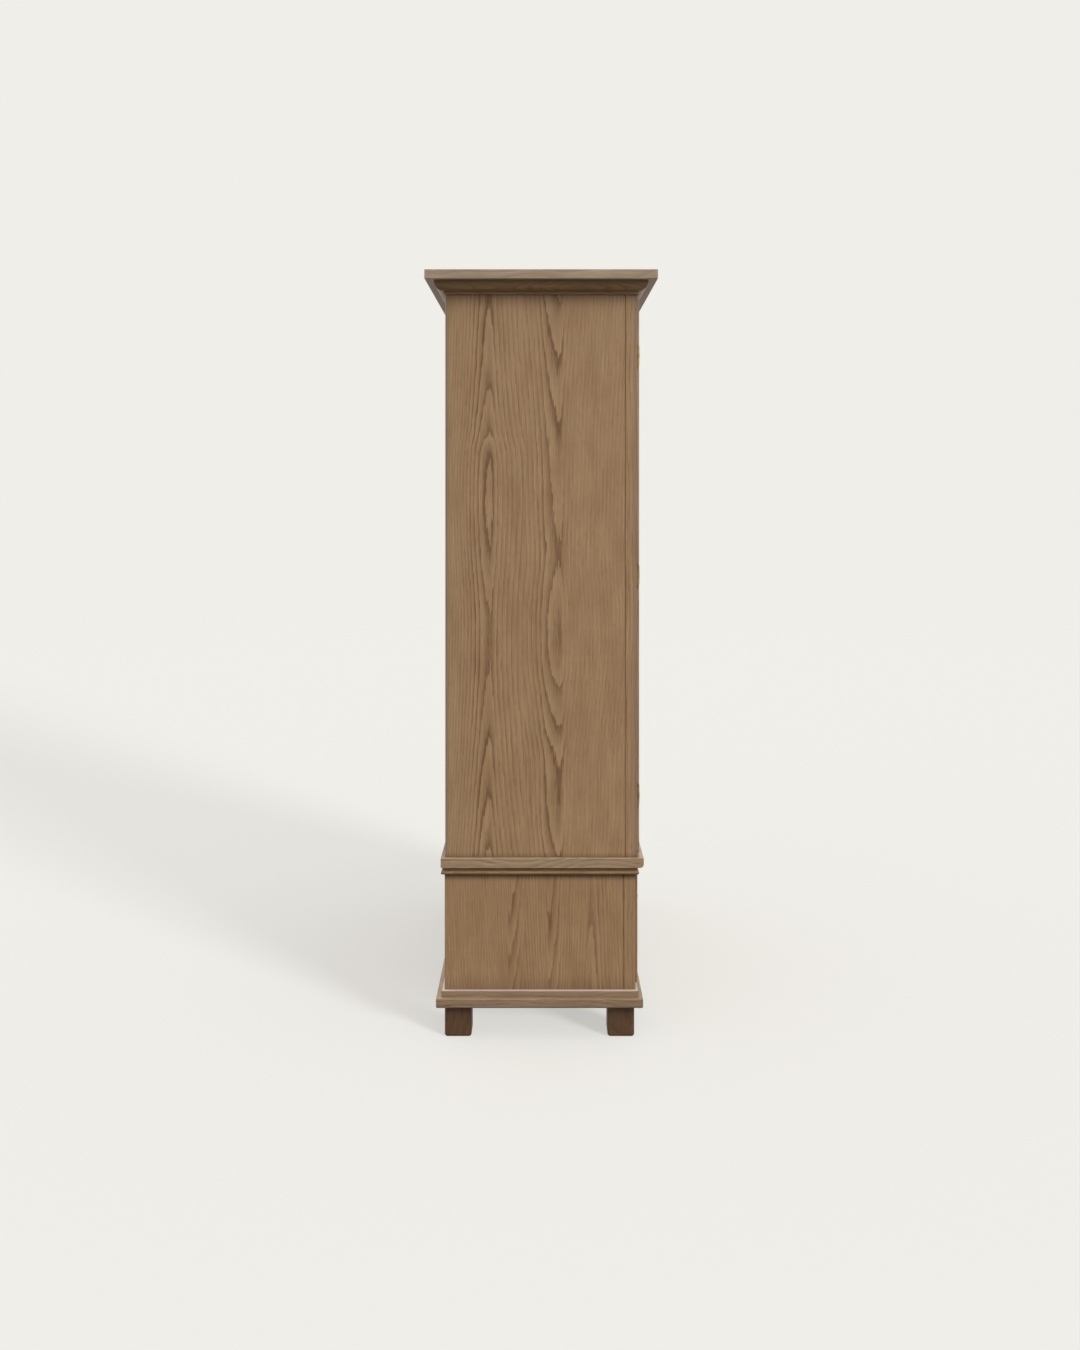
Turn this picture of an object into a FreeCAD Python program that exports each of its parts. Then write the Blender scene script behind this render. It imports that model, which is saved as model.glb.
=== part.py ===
import FreeCAD, Part
import math
import os

from FreeCAD import Vector

# A two-part linen press in brown oak: a tall cupboard with a pair of lipped, frame-and-panel doors
# stands on a low chest with two deep, dovetailed drawers.  A flat cap over an ovolo cornice, a belt
# board with a bead under it and a stepped base board run round all four sides.
#
# Millimetres.  X is the width, the front faces -Y and Z is up.  The origin lies on the floor under
# the middle of the press.

os.makedirs("parts", exist_ok=True)

# ---------------------------------------------------------------- driving dimensions

# heights of the stacked members, from the floor up
foot_height = 82.0
base_board_thickness = 25.0
lower_case_height = 337.0
belt_board_thickness = 26.0
upper_case_height = 1497.0
cap_board_thickness = 25.0

# the two cases
case_width = 1100.0
upper_case_depth = 500.0
lower_case_front_step = 4.5         # the chest's front stands this far behind the cupboard's
lower_case_back_step = 1.5          # and its back this far behind the cupboard's back
side_thickness = 20.0
deck_thickness = 20.0               # top and bottom boards of the cases
back_thickness = 8.0
back_board_pitch = 150.0            # width of the tongued boards in the back
back_groove_width = 5.0
shelf_thickness = 20.0
shelf_count = 3
shelf_front_setback = 4.0
partition_thickness = 20.0

# how the sides, decks and backs are let into each other
housing_depth = 6.0
back_rebate_width = 12.0
tongue_thickness = 8.0
tongue_length = 7.0
joint_chamfer = 2.2                 # V-joint between a side and its stile
case_arris = 4.0

# face frames
frame_thickness = 31.0
stile_width = 50.0
muntin_width = 50.0
upper_rail_top_height = 57.0
upper_rail_bottom_height = 22.0
lower_rail_top_height = 39.0
lower_rail_bottom_height = 36.0
tenon_thickness = 10.0
tenon_length = 24.0
tenon_shoulder = 5.0

# boards and mouldings that run round the press
edging_width = 62.0                 # mitred edging round the cap, belt and base boards
cap_overhang = 50.0
cap_arris = 2.0
belt_overhang_front = 21.0          # over the face of the lower case
belt_overhang_back = 9.5
belt_overhang_side = 12.0
belt_nose_radius = 10.0             # under the front edge
belt_arris = 2.0
base_overhang_front = 18.5
base_overhang_back = 21.0
base_overhang_side = 20.0
base_arris = 6.0
cornice_projection = 27.0
cornice_fillet_projection = 4.0
cornice_fillet_height = 8.0
cornice_lip_height = 2.0
bead_projection = 9.0
bead_round_radius = 4.75
bead_quirk_height = 9.5
step_projection = 7.5
step_height = 17.0
step_arris = 3.0

# feet
foot_size = 70.0
foot_inset = 21.0                   # from the edges of the base board
foot_arris = 8.0
foot_toe_radius = 7.0

# lipped doors and drawer fronts
lip_thickness = 8.2
lip_overlap = 10.0                  # over a stile or muntin
lip_radius = 5.0
front_thickness = 22.0
door_stile_width = 72.0
door_rail_top_height = 84.0
door_rail_middle_height = 80.0
door_rail_bottom_height = 110.0
door_rail_middle_centre = 640.0     # above the door's lower edge
door_tenon_length = 30.0
door_tenon_thickness = 8.0
sticking_radius = 6.0
groove_front_depth = 9.0            # from the door's face to its panel groove
groove_depth = 9.0
panel_tongue_thickness = 6.0
panel_field_depth = 1.0             # from the door's face to the raised field
panel_bevel_width = 35.0
panel_field_step = 2.2

# drawer boxes
drawer_side_thickness = 14.0
drawer_side_height = 235.0
drawer_box_lift = 6.0               # above the lower edge of its opening
drawer_back_gap = 28.0              # behind the closed drawer
drawer_bottom_thickness = 6.0
drawer_bottom_lift = 12.0           # groove above the side's lower edge
drawer_bottom_groove = 5.0
dovetail_length = 12.0
dovetail_pitch = 47.0
dovetail_slope = 8.0                # degrees
dovetail_width = 33.0               # a tail at its wide end
runner_height = 18.0
runner_groove_depth = 7.0

# knobs, bail handles, hinges and catches
knob_radius = 15.0
knob_length = 28.0
knob_rose_radius = 11.0
knob_rose_depth = 4.2
rose_edge = 1.5                     # straight edge of a knob's or handle's rose
knob_height = 633.0                 # above the door's lower edge
bail_centres = 96.0
bail_rod_radius = 2.8
bail_drop = 32.0
bail_corner_radius = 11.0
bail_eye_height = 16.0              # above the middle of the drawer front
post_length = 15.5
post_ball_radius = 6.5
post_neck_radius = 4.0
post_rose_radius = 13.0
hinge_length = 50.0
hinge_leaf_width = 22.0
hinge_leaf_thickness = 1.2
hinge_knuckle_radius = 4.0
hinge_pin_radius = 2.0
hinge_end_inset = 150.0             # from the door's ends to the middle of a hinge
hinge_tip_radius = 3.2
hinge_stand_off = 0.4               # between the barrel and the frame's face
catch_width = 44.0
catch_height = 18.0
catch_flange_thickness = 9.0
catch_from_middle = 24.0
strike_thickness = 1.0
shelf_pin_radius = 3.0
shelf_pin_length = 22.0
shelf_pin_depth = 10.0
shelf_pin_inset = 55.0

# clearances
seat = 0.2                          # a tenon, tongue or panel in its slot
wood_gap = 2.0                      # a door or drawer body inside its opening
lip_back_gap = 0.5                  # between a lip and the frame behind it
door_meeting_gap = 3.0
door_gap_below = 2.0
door_gap_above = 4.0
drawer_lip_gap = 3.0
panel_gap = 1.0
shelf_gap = 1.0
pin_gap = 0.05
knuckle_gap = 0.3
hinge_edge_gap = 0.8
runner_gap = 0.3
runner_side_gap = 0.5
catch_gap = 0.4

# ---------------------------------------------------------------- levels and planes

z_base = foot_height
z_lower = z_base + base_board_thickness
z_belt = z_lower + lower_case_height
z_upper = z_belt + belt_board_thickness
z_cap = z_upper + upper_case_height
z_top = z_cap + cap_board_thickness

x_case = case_width / 2
x_inside = x_case - side_thickness
x_opening = x_case - stile_width

y_upper_front = -upper_case_depth / 2
y_upper_back = upper_case_depth / 2
y_lower_back = y_upper_back + lower_case_back_step
y_lower_front = y_upper_front + lower_case_front_step

cornice_radius = cornice_projection - cornice_fillet_projection
cornice_height = cornice_lip_height + cornice_radius + cornice_fillet_height
bead_height = bead_quirk_height + 2 * bead_round_radius

# edges of the lips, which all but touch the mouldings above and below
z_door_bottom = z_upper + door_gap_below
z_door_top = z_cap - cornice_height - door_gap_above
z_drawer_bottom = z_lower + step_height + drawer_lip_gap
z_drawer_top = z_belt - bead_height - drawer_lip_gap

# openings in the face frames
z_upper_opening = (z_upper + upper_rail_bottom_height, z_cap - upper_rail_top_height)
z_lower_opening = (z_lower + lower_rail_bottom_height, z_belt - lower_rail_top_height)

lip_stand_off = lip_back_gap + lip_thickness
y_door_face = y_upper_front - lip_stand_off
y_drawer_face = y_lower_front - lip_stand_off


# ---------------------------------------------------------------- helpers

def box(x0, x1, y0, y1, z0, z1):
    """A block between two corners, given in any order."""
    low = Vector(min(x0, x1), min(y0, y1), min(z0, z1))
    return Part.makeBox(abs(x1 - x0), abs(y1 - y0), abs(z1 - z0), low)


def mirrored(shape):
    """The same piece on the other side of the press."""
    return shape.mirror(Vector(0, 0, 0), Vector(1, 0, 0))


def sided(shape, side):
    """A piece drawn on the right (+X), put on its own side: -1 is left and 1 is right."""
    return shape if side > 0 else mirrored(shape)


def one_solid(shape):
    """The single solid in a boolean result, with its split faces joined again."""
    joined = shape.removeSplitter()
    if len(joined.Solids) != 1:
        raise ValueError(f"expected one solid, found {len(joined.Solids)}")
    return joined.Solids[0]


def save(node, *solids):
    """Write one node: a solid, or a group of the same small piece."""
    shape = solids[0] if len(solids) == 1 else Part.makeCompound(list(solids))
    shape.exportStep(f"parts/{node}.step")


def fillet_where(shape, radius, test):
    """Round the edges whose bounding box passes the test."""
    edges = [edge for edge in shape.Edges if test(edge.BoundBox)]
    return shape.makeFillet(radius, edges)


def level(low, high, value):
    """True for a flat extent that lies at the value."""
    return abs(low - value) < 0.01 and abs(high - value) < 0.01


def outline_face(edges):
    return Part.Face(Part.Wire(edges))


def line(a, b):
    return Part.LineSegment(a, b).toShape()


def quarter_arc(start, centre, end):
    """A quarter circle from start to end about centre."""
    middle = centre + (start - centre + end - centre).normalize() * (start - centre).Length
    return Part.Arc(start, middle, end).toShape()


def curve(points):
    """A smooth curve through the points."""
    spline = Part.BSplineCurve()
    spline.interpolate(points)
    return spline.toShape()


def turned(centre, edges):
    """A turned piece whose axis points to -Y: the edges run from the axis out and back to it."""
    whole = edges + [line(edges[-1].Vertexes[-1].Point, edges[0].Vertexes[0].Point)]
    return outline_face(whole).revolve(centre, Vector(0, -1, 0), 360)


def turning_point(centre):
    """Maps (distance from the seat, radius) to a point of a turned piece's profile."""
    return lambda out, radius: Vector(centre.x, centre.y - out, centre.z + radius)


# ---------------------------------------------------------------- boards and mouldings all round

def plan_board(overhangs, fronts, z0, z1):
    """A board that overhangs a case by (front, back, side)."""
    front, back, side = overhangs
    y_front, y_back = fronts
    return box(-x_case - side, x_case + side, y_front - front, y_back + back, z0, z1)


def cap_board():
    overhangs = (cap_overhang, cap_overhang, cap_overhang)
    board = plan_board(overhangs, (y_upper_front, y_upper_back), z_cap, z_top)
    return board.makeFillet(cap_arris, board.Edges)


def belt_board():
    """The chest's top: rounded under its front edge and eased along the other arrises."""
    overhangs = (belt_overhang_front, belt_overhang_back, belt_overhang_side)
    board = plan_board(overhangs, (y_lower_front, y_lower_back), z_belt, z_upper)
    y_nose = y_lower_front - belt_overhang_front
    board = fillet_where(board, belt_nose_radius,
                         lambda b: level(b.ZMin, b.ZMax, z_belt) and level(b.YMin, b.YMax, y_nose))
    return fillet_where(board, belt_arris, lambda b: level(b.ZMin, b.ZMax, z_upper))


def base_board():
    overhangs = (base_overhang_front, base_overhang_back, base_overhang_side)
    board = plan_board(overhangs, (y_lower_front, y_lower_back), z_base, z_lower)
    board = fillet_where(board, base_arris, lambda b: level(b.ZMin, b.ZMax, z_base))
    return fillet_where(board, cap_arris, lambda b: level(b.ZMin, b.ZMax, z_lower))


def edged(board):
    """A board parted into its middle, tongued all round, and the four mitred edgings that frame it."""
    outer = board.BoundBox
    x_core = outer.XMax - edging_width
    y_core = (outer.YMin + edging_width, outer.YMax - edging_width)
    core = box(-x_core, x_core, *y_core, outer.ZMin, outer.ZMax)

    def tongue(play):
        reach = tongue_length + play
        half = tongue_thickness / 2 + play
        z_middle = (outer.ZMin + outer.ZMax) / 2
        return box(-x_core - reach, x_core + reach, y_core[0] - reach, y_core[1] + reach,
                   z_middle - half, z_middle + half)

    rim = board.cut(core).cut(tongue(seat))
    corners = ((-1, outer.YMin, y_core[0]), (1, outer.YMin, y_core[0]),
               (1, outer.YMax, y_core[1]), (-1, outer.YMax, y_core[1]))
    outer_corners = [Vector(sign * outer.XMax, y, outer.ZMin) for sign, y, _ in corners]
    inner_corners = [Vector(sign * x_core, y, outer.ZMin) for sign, _, y in corners]
    edgings = []
    for here in range(4):
        after = (here + 1) % 4
        plan = Part.makePolygon([outer_corners[here], outer_corners[after],
                                 inner_corners[after], inner_corners[here], outer_corners[here]])
        zone = Part.Face(plan).extrude(Vector(0, 0, outer.ZLength))
        edgings.append(one_solid(rim.common(zone)))
    return one_solid(core.fuse(tongue(0))), edgings


def cornice_profile():
    """Ovolo over a plain fillet, hanging from the cap; u is outward and v is up."""
    lip = -cornice_lip_height
    under = lip - cornice_radius
    corner = Vector(cornice_projection, 0, lip)
    foot = Vector(cornice_fillet_projection, 0, under)
    centre = Vector(cornice_fillet_projection, 0, lip)
    fillet_end = Vector(cornice_fillet_projection, 0, -cornice_height)
    return outline_face([
        line(Vector(0, 0, 0), Vector(cornice_projection, 0, 0)),
        line(Vector(cornice_projection, 0, 0), corner),
        quarter_arc(corner, centre, foot),
        line(foot, fillet_end),
        line(fillet_end, Vector(0, 0, -cornice_height)),
        line(Vector(0, 0, -cornice_height), Vector(0, 0, 0)),
    ])


def bead_profile():
    """A half-round bead below a flat quirk, hanging from the belt board."""
    quirk = bead_projection - bead_round_radius
    top = Vector(quirk, 0, -bead_quirk_height)
    centre = top - Vector(0, 0, bead_round_radius)
    nose = Vector(bead_projection, 0, centre.z)
    bottom = Vector(quirk, 0, -bead_height)
    return outline_face([
        line(Vector(0, 0, 0), Vector(quirk, 0, 0)),
        line(Vector(quirk, 0, 0), top),
        quarter_arc(top, centre, nose),
        quarter_arc(nose, centre, bottom),
        line(bottom, Vector(0, 0, -bead_height)),
        line(Vector(0, 0, -bead_height), Vector(0, 0, 0)),
    ])


def step_profile():
    """The small step on the base board, with its upper arris eased."""
    outer = Vector(step_projection, 0, step_height - step_arris)
    inner = Vector(step_projection - step_arris, 0, step_height)
    return outline_face([
        line(Vector(0, 0, 0), Vector(step_projection, 0, 0)),
        line(Vector(step_projection, 0, 0), outer),
        quarter_arc(outer, Vector(step_projection - step_arris, 0, step_height - step_arris), inner),
        line(inner, Vector(0, 0, step_height)),
        line(Vector(0, 0, step_height), Vector(0, 0, 0)),
    ])


def mitred_lengths(profile, projection, y_front, y_back, z):
    """Four lengths of a moulding round a case, mitred at the corners."""
    depth = y_back - y_front
    y_middle = (y_front + y_back) / 2
    sides = [
        (0, depth, Vector(x_case, y_middle, z)),
        (90, case_width, Vector(0, y_back, z)),
        (180, depth, Vector(-x_case, y_middle, z)),
        (270, case_width, Vector(0, y_front, z)),
    ]
    height = profile.BoundBox.ZLength
    lengths = []
    for angle, run, middle in sides:
        half = run / 2
        whole = profile.copy()
        whole.translate(Vector(0, -half - projection, 0))
        whole = whole.extrude(Vector(0, run + 2 * projection, 0))
        plan = Part.makePolygon([
            Vector(0, -half, profile.BoundBox.ZMin),
            Vector(projection, -half - projection, profile.BoundBox.ZMin),
            Vector(projection, half + projection, profile.BoundBox.ZMin),
            Vector(0, half, profile.BoundBox.ZMin),
            Vector(0, -half, profile.BoundBox.ZMin),
        ])
        length = one_solid(whole.common(Part.Face(plan).extrude(Vector(0, 0, height))))
        length.rotate(Vector(0, 0, 0), Vector(0, 0, 1), angle)
        length.translate(middle)
        lengths.append(length)
    return lengths


def feet():
    """Four square block feet, eased at the corners and under the toes."""
    x_outer = x_case + base_overhang_side - foot_inset
    y_outer = (y_lower_front - base_overhang_front + foot_inset,
               y_lower_back + base_overhang_back - foot_inset)
    blocks = []
    for x_sign in (-1, 1):
        for y_edge, inward in zip(y_outer, (1, -1)):
            block = box(x_sign * x_outer, x_sign * (x_outer - foot_size),
                        y_edge, y_edge + inward * foot_size, 0, foot_height)
            block = fillet_where(block, foot_arris, lambda b: b.ZLength > foot_height / 2)
            block = fillet_where(block, foot_toe_radius, lambda b: level(b.ZMin, b.ZMax, 0))
            blocks.append(block)
    return blocks


# ---------------------------------------------------------------- the two cases

def case_side(z0, z1, y_front, y_back, deck_levels):
    """A right-hand side board: tongued into its stile, housed for the decks, rebated for the back."""
    y_seam = y_front + frame_thickness
    board = box(x_inside, x_case, y_seam, y_back, z0, z1)
    board = fillet_where(board, case_arris, lambda b: level(b.XMin, b.XMax, x_case)
                         and level(b.YMin, b.YMax, y_back))
    seam = [edge for edge in board.Edges if level(edge.BoundBox.XMin, edge.BoundBox.XMax, x_case)
            and level(edge.BoundBox.YMin, edge.BoundBox.YMax, y_seam)]
    board = board.makeChamfer(joint_chamfer, seam)
    x_tongue = x_inside + (side_thickness - tongue_thickness) / 2
    board = board.fuse(box(x_tongue, x_tongue + tongue_thickness, y_seam - tongue_length, y_seam, z0, z1))
    x_rebate = x_inside + back_rebate_width
    board = board.cut(box(x_inside, x_rebate, y_back - back_thickness, y_back, z0, z1))
    for low, high in deck_levels:
        board = board.cut(box(x_inside, x_inside + housing_depth, y_seam, y_back, low, high))
    return one_solid(board)


def case_stile(z0, z1, y_front, rails):
    """A right-hand stile, grooved for the side board and mortised for the rails."""
    y_seam = y_front + frame_thickness
    stile = box(x_opening, x_case, y_front, y_seam, z0, z1)
    seam = [edge for edge in stile.Edges if level(edge.BoundBox.XMin, edge.BoundBox.XMax, x_case)
            and level(edge.BoundBox.YMin, edge.BoundBox.YMax, y_seam)]
    stile = stile.makeChamfer(joint_chamfer, seam)
    stile = fillet_where(stile, case_arris / 2, lambda b: level(b.XMin, b.XMax, x_case)
                         and level(b.YMin, b.YMax, y_front))
    x_tongue = x_inside + (side_thickness - tongue_thickness) / 2
    stile = stile.cut(box(x_tongue - seat, x_tongue + tongue_thickness + seat,
                          y_seam - tongue_length - seat, y_seam, z0, z1))
    for low, high in rails:
        stile = stile.cut(rail_tenon(low, high, y_front, seat))
    return one_solid(stile)


def rail_tenon(low, high, y_front, play):
    """The tenon on the right-hand end of a face-frame rail, or its mortise when given play."""
    y_tenon = y_front + (frame_thickness - tenon_thickness) / 2
    return box(x_opening, x_opening + tenon_length + play,
               y_tenon - play, y_tenon + tenon_thickness + play,
               low + tenon_shoulder - play, high - tenon_shoulder + play)


def case_rail(low, high, y_front):
    rail = box(-x_opening, x_opening, y_front, y_front + frame_thickness, low, high)
    tenon = rail_tenon(low, high, y_front, 0)
    return one_solid(rail.fuse([tenon, mirrored(tenon)]))


def muntin_tenon(z_shoulder, direction, play):
    y_tenon = y_lower_front + (frame_thickness - tenon_thickness) / 2
    half = muntin_width / 2 - tenon_shoulder + play
    return box(-half, half, y_tenon - play, y_tenon + tenon_thickness + play,
               z_shoulder, z_shoulder + direction * (tenon_length / 2 + play))


def muntin():
    low, high = z_lower_opening
    post = box(-muntin_width / 2, muntin_width / 2, y_lower_front, y_lower_front + frame_thickness, low, high)
    return one_solid(post.fuse([muntin_tenon(low, -1, 0), muntin_tenon(high, 1, 0)]))


def deck(z0, z1, y_front, y_back):
    """A top or bottom board, housed into both sides."""
    half = x_inside + housing_depth
    return box(-half, half, y_front + frame_thickness, y_back - back_thickness, z0, z1)


def back_panel(z0, z1, y_back):
    """Tongued boards that read as one panel, with a V-groove at each joint."""
    half = x_inside + back_rebate_width - seat
    panel = box(-half, half, y_back - back_thickness, y_back, z0, z1)
    boards = max(2, round(2 * half / back_board_pitch))
    groove = back_groove_width / 2
    cutters = []
    for index in range(1, boards):
        x_joint = -half + index * 2 * half / boards
        mouth = Part.makePolygon([Vector(x_joint - groove, y_back, z0), Vector(x_joint + groove, y_back, z0),
                                  Vector(x_joint, y_back - groove, z0), Vector(x_joint - groove, y_back, z0)])
        cutters.append(Part.Face(mouth).extrude(Vector(0, 0, z1 - z0)))
    return one_solid(panel.cut(cutters))


def shelf_levels():
    low = z_upper + deck_thickness
    high = z_cap - deck_thickness
    pitch = (high - low) / (shelf_count + 1)
    return [low + pitch * index - shelf_thickness / 2 for index in range(1, shelf_count + 1)]


def shelf_front():
    return y_upper_front + frame_thickness + shelf_front_setback


def shelf(z0):
    half = x_inside - shelf_gap
    y_back = y_upper_back - back_thickness - shelf_gap
    return box(-half, half, shelf_front(), y_back, z0, z0 + shelf_thickness)


def shelf_pin_places():
    """Axis points of the pins: (x sign, y, z)."""
    y_rows = (shelf_front() + shelf_pin_inset, y_upper_back - back_thickness - shelf_pin_inset)
    drop = shelf_pin_radius + seat
    return [(sign, y, z - drop) for z in shelf_levels() for sign in (-1, 1) for y in y_rows]


def shelf_pin(sign, y, z, play=0.0):
    start = Vector(sign * (x_inside + shelf_pin_depth + play), y, z)
    return Part.makeCylinder(shelf_pin_radius + play, shelf_pin_length + play, start, Vector(-sign, 0, 0))


def lower_partition():
    """The upright between the drawers, from the chest's floor to its top."""
    return box(-partition_thickness / 2, partition_thickness / 2,
               y_lower_front + frame_thickness, y_lower_back - back_thickness,
               z_lower + deck_thickness, z_belt)


def build_upper_case():
    rails = ((z_upper, z_upper + upper_rail_bottom_height), (z_cap - upper_rail_top_height, z_cap))
    decks = ((z_upper, z_upper + deck_thickness), (z_cap - deck_thickness, z_cap))
    side_board = case_side(z_upper, z_cap, y_upper_front, y_upper_back, decks)
    stile = case_stile(z_upper, z_cap, y_upper_front, rails)
    for name, side in (("left", -1), ("right", 1)):
        holes = [shelf_pin(1, y, z, pin_gap) for sign, y, z in shelf_pin_places() if sign > 0]
        save(f"upper_side_{name}", sided(one_solid(side_board.cut(holes)), side))
        save(f"upper_stile_{name}", sided(stile, side))
    save("upper_rail_bottom", case_rail(*rails[0], y_upper_front))
    save("upper_rail_top", case_rail(*rails[1], y_upper_front))
    save("upper_decks", *[deck(*faces, y_upper_front, y_upper_back) for faces in decks])
    save("upper_back_panel", back_panel(z_upper, z_cap, y_upper_back))
    save("shelves", *[shelf(z0) for z0 in shelf_levels()])
    save("shelf_pins", *[shelf_pin(*place) for place in shelf_pin_places()])


def build_lower_case():
    rails = ((z_lower, z_lower + lower_rail_bottom_height), (z_belt - lower_rail_top_height, z_belt))
    floor = (z_lower, z_lower + deck_thickness)
    side_board = case_side(z_lower, z_belt, y_lower_front, y_lower_back, (floor,))
    stile = case_stile(z_lower, z_belt, y_lower_front, rails)
    for name, side in (("left", -1), ("right", 1)):
        save(f"lower_side_{name}", sided(side_board, side))
        save(f"lower_stile_{name}", sided(stile, side))
    low, high = z_lower_opening
    rail_bottom = case_rail(*rails[0], y_lower_front).cut(muntin_tenon(low, -1, seat))
    rail_top = case_rail(*rails[1], y_lower_front).cut(muntin_tenon(high, 1, seat))
    save("lower_rail_bottom", one_solid(rail_bottom))
    save("lower_rail_top", one_solid(rail_top))
    save("lower_muntin", muntin())
    save("lower_partition", lower_partition())
    save("lower_deck", deck(*floor, y_lower_front, y_lower_back))
    save("lower_back_panel", back_panel(z_lower, z_belt, y_lower_back))


def build_surround():
    for name, board in (("cap", cap_board()), ("belt", belt_board()), ("base", base_board())):
        middle, edgings = edged(board)
        save(f"{name}_board", middle)
        save(f"{name}_edging", *edgings)
    save("cornice_moulding", *mitred_lengths(cornice_profile(), cornice_projection,
                                             y_upper_front, y_upper_back, z_cap))
    save("belt_bead", *mitred_lengths(bead_profile(), bead_projection,
                                      y_lower_front, y_lower_back, z_belt))
    save("base_moulding", *mitred_lengths(step_profile(), step_projection,
                                          y_lower_front, y_lower_back, z_lower))
    save("feet", *feet())


# ---------------------------------------------------------------- doors

x_door_lip = x_opening + lip_overlap
x_door_body = x_opening - wood_gap
x_door_inner = door_meeting_gap / 2
y_door_back = y_door_face + front_thickness
x_stile_outer_sight = x_door_lip - door_stile_width
x_stile_inner_sight = x_door_inner + door_stile_width
y_groove = y_door_face + groove_front_depth

# hinge axis: beside the lip, standing off the frame
x_hinge = x_door_lip + hinge_edge_gap + hinge_knuckle_radius
y_hinge = y_upper_front - hinge_stand_off - hinge_knuckle_radius


def door_rails():
    """Lower and upper edges of the three rails."""
    middle = z_door_bottom + door_rail_middle_centre
    return (
        (z_door_bottom, z_door_bottom + door_rail_bottom_height),
        (middle - door_rail_middle_height / 2, middle + door_rail_middle_height / 2),
        (z_door_top - door_rail_top_height, z_door_top),
    )


def door_panel_openings():
    bottom, middle, top = door_rails()
    return ((bottom[1], middle[0]), (middle[1], top[0]))


def door_blank():
    """The right-hand door as one board: lipped, pierced, stuck with a round and grooved for panels."""
    lip = box(x_door_inner, x_door_lip, y_door_face, y_door_face + lip_thickness, z_door_bottom, z_door_top)
    lip = fillet_where(lip, lip_radius, lambda b: level(b.YMin, b.YMax, y_door_face)
                       and not level(b.XMin, b.XMax, x_door_inner))
    low, high = z_upper_opening
    body = box(x_door_inner, x_door_body, y_door_face + lip_thickness, y_door_back,
               low + wood_gap, high - wood_gap)
    blank = lip.fuse(body).removeSplitter()
    for z0, z1 in door_panel_openings():
        blank = blank.cut(box(x_stile_inner_sight, x_stile_outer_sight, y_door_face, y_door_back, z0, z1))
        blank = fillet_where(blank, sticking_radius, lambda b: level(b.YMin, b.YMax, y_door_face)
                             and b.ZMin > z0 - 0.01 and b.ZMax < z1 + 0.01
                             and b.XMin > x_stile_inner_sight - 0.01 and b.XMax < x_stile_outer_sight + 0.01)
        blank = blank.cut(box(x_stile_inner_sight - groove_depth, x_stile_outer_sight + groove_depth,
                              y_groove, y_groove + panel_tongue_thickness + 2 * seat,
                              z0 - groove_depth, z1 + groove_depth))
    return blank


def door_tenons(play):
    """Tenons of every rail, or their mortises when given play."""
    y_tenon = y_groove + panel_tongue_thickness / 2 + seat - door_tenon_thickness / 2
    tenons = []
    for z0, z1 in door_rails():
        low = max(z0, z_upper_opening[0]) + groove_depth + tenon_shoulder
        high = min(z1, z_upper_opening[1]) - groove_depth - tenon_shoulder
        for x_shoulder, outward in ((x_stile_inner_sight, -1), (x_stile_outer_sight, 1)):
            tenons.append(box(x_shoulder, x_shoulder + outward * (door_tenon_length + play),
                              y_tenon - play, y_tenon + door_tenon_thickness + play, low - play, high + play))
    return tenons


def door_panel(z0, z1):
    """A raised and fielded panel that floats in the grooves."""
    reach = groove_depth - panel_gap
    y_tongue = y_groove + seat
    tongue = box(x_stile_inner_sight - reach, x_stile_outer_sight + reach,
                 y_tongue, y_tongue + panel_tongue_thickness, z0 - reach, z1 + reach)
    y_field = y_door_face + panel_field_depth
    y_step = y_field + panel_field_step

    def rectangle(inset, y):
        corners = [(x_stile_inner_sight + inset, z0 + inset), (x_stile_outer_sight - inset, z0 + inset),
                   (x_stile_outer_sight - inset, z1 - inset), (x_stile_inner_sight + inset, z1 - inset)]
        return Part.makePolygon([Vector(x, y, z) for x, z in corners + corners[:1]])

    bevel = Part.makeLoft([rectangle(seat, y_tongue), rectangle(panel_bevel_width, y_step)], True, True)
    x0, x1 = x_stile_inner_sight + panel_bevel_width, x_stile_outer_sight - panel_bevel_width
    field = box(x0, x1, y_field, y_tongue, z0 + panel_bevel_width, z1 - panel_bevel_width)
    return one_solid(tongue.fuse([bevel, field]))


def hinge_levels():
    return (z_door_bottom + hinge_end_inset, (z_door_bottom + z_door_top) / 2, z_door_top - hinge_end_inset)


def knuckle(z0, z1):
    return Part.makeCylinder(hinge_knuckle_radius, z1 - z0, Vector(x_hinge, y_hinge, z0))


def hinge_bore(z0, z1):
    return Part.makeCylinder(hinge_pin_radius + pin_gap, z1 - z0, Vector(x_hinge, y_hinge, z0))


def door_leaf(z_middle, play=0.0):
    """Leaf let flush into the door's face, from the barrel inwards."""
    half = hinge_length / 2 + play
    y_front = y_hinge - hinge_knuckle_radius - hinge_leaf_thickness / 2
    return box(x_hinge, x_hinge - hinge_leaf_width - play, y_front - play,
               y_front + hinge_leaf_thickness + play, z_middle - half, z_middle + half)


def hinge_knuckle_edges(z_middle):
    """Ends of the lower, middle and upper knuckles."""
    half = hinge_length / 2
    third = hinge_length / 6
    return ((z_middle - half, z_middle - third - knuckle_gap / 2),
            (z_middle - third + knuckle_gap / 2, z_middle + third - knuckle_gap / 2),
            (z_middle + third + knuckle_gap / 2, z_middle + half))


def door_hinge_half(z_middle):
    """Door leaf with the middle knuckle."""
    lower, middle, upper = hinge_knuckle_edges(z_middle)
    around = hinge_knuckle_radius + knuckle_gap
    leaf = door_leaf(z_middle)
    for z0, z1 in ((lower[0], middle[0]), (middle[1], upper[1])):
        leaf = leaf.cut(box(x_hinge - around, x_hinge + around, y_hinge - 2 * around, y_hinge, z0, z1))
    return one_solid(leaf.fuse(knuckle(*middle)).cut(hinge_bore(*middle)))


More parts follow.
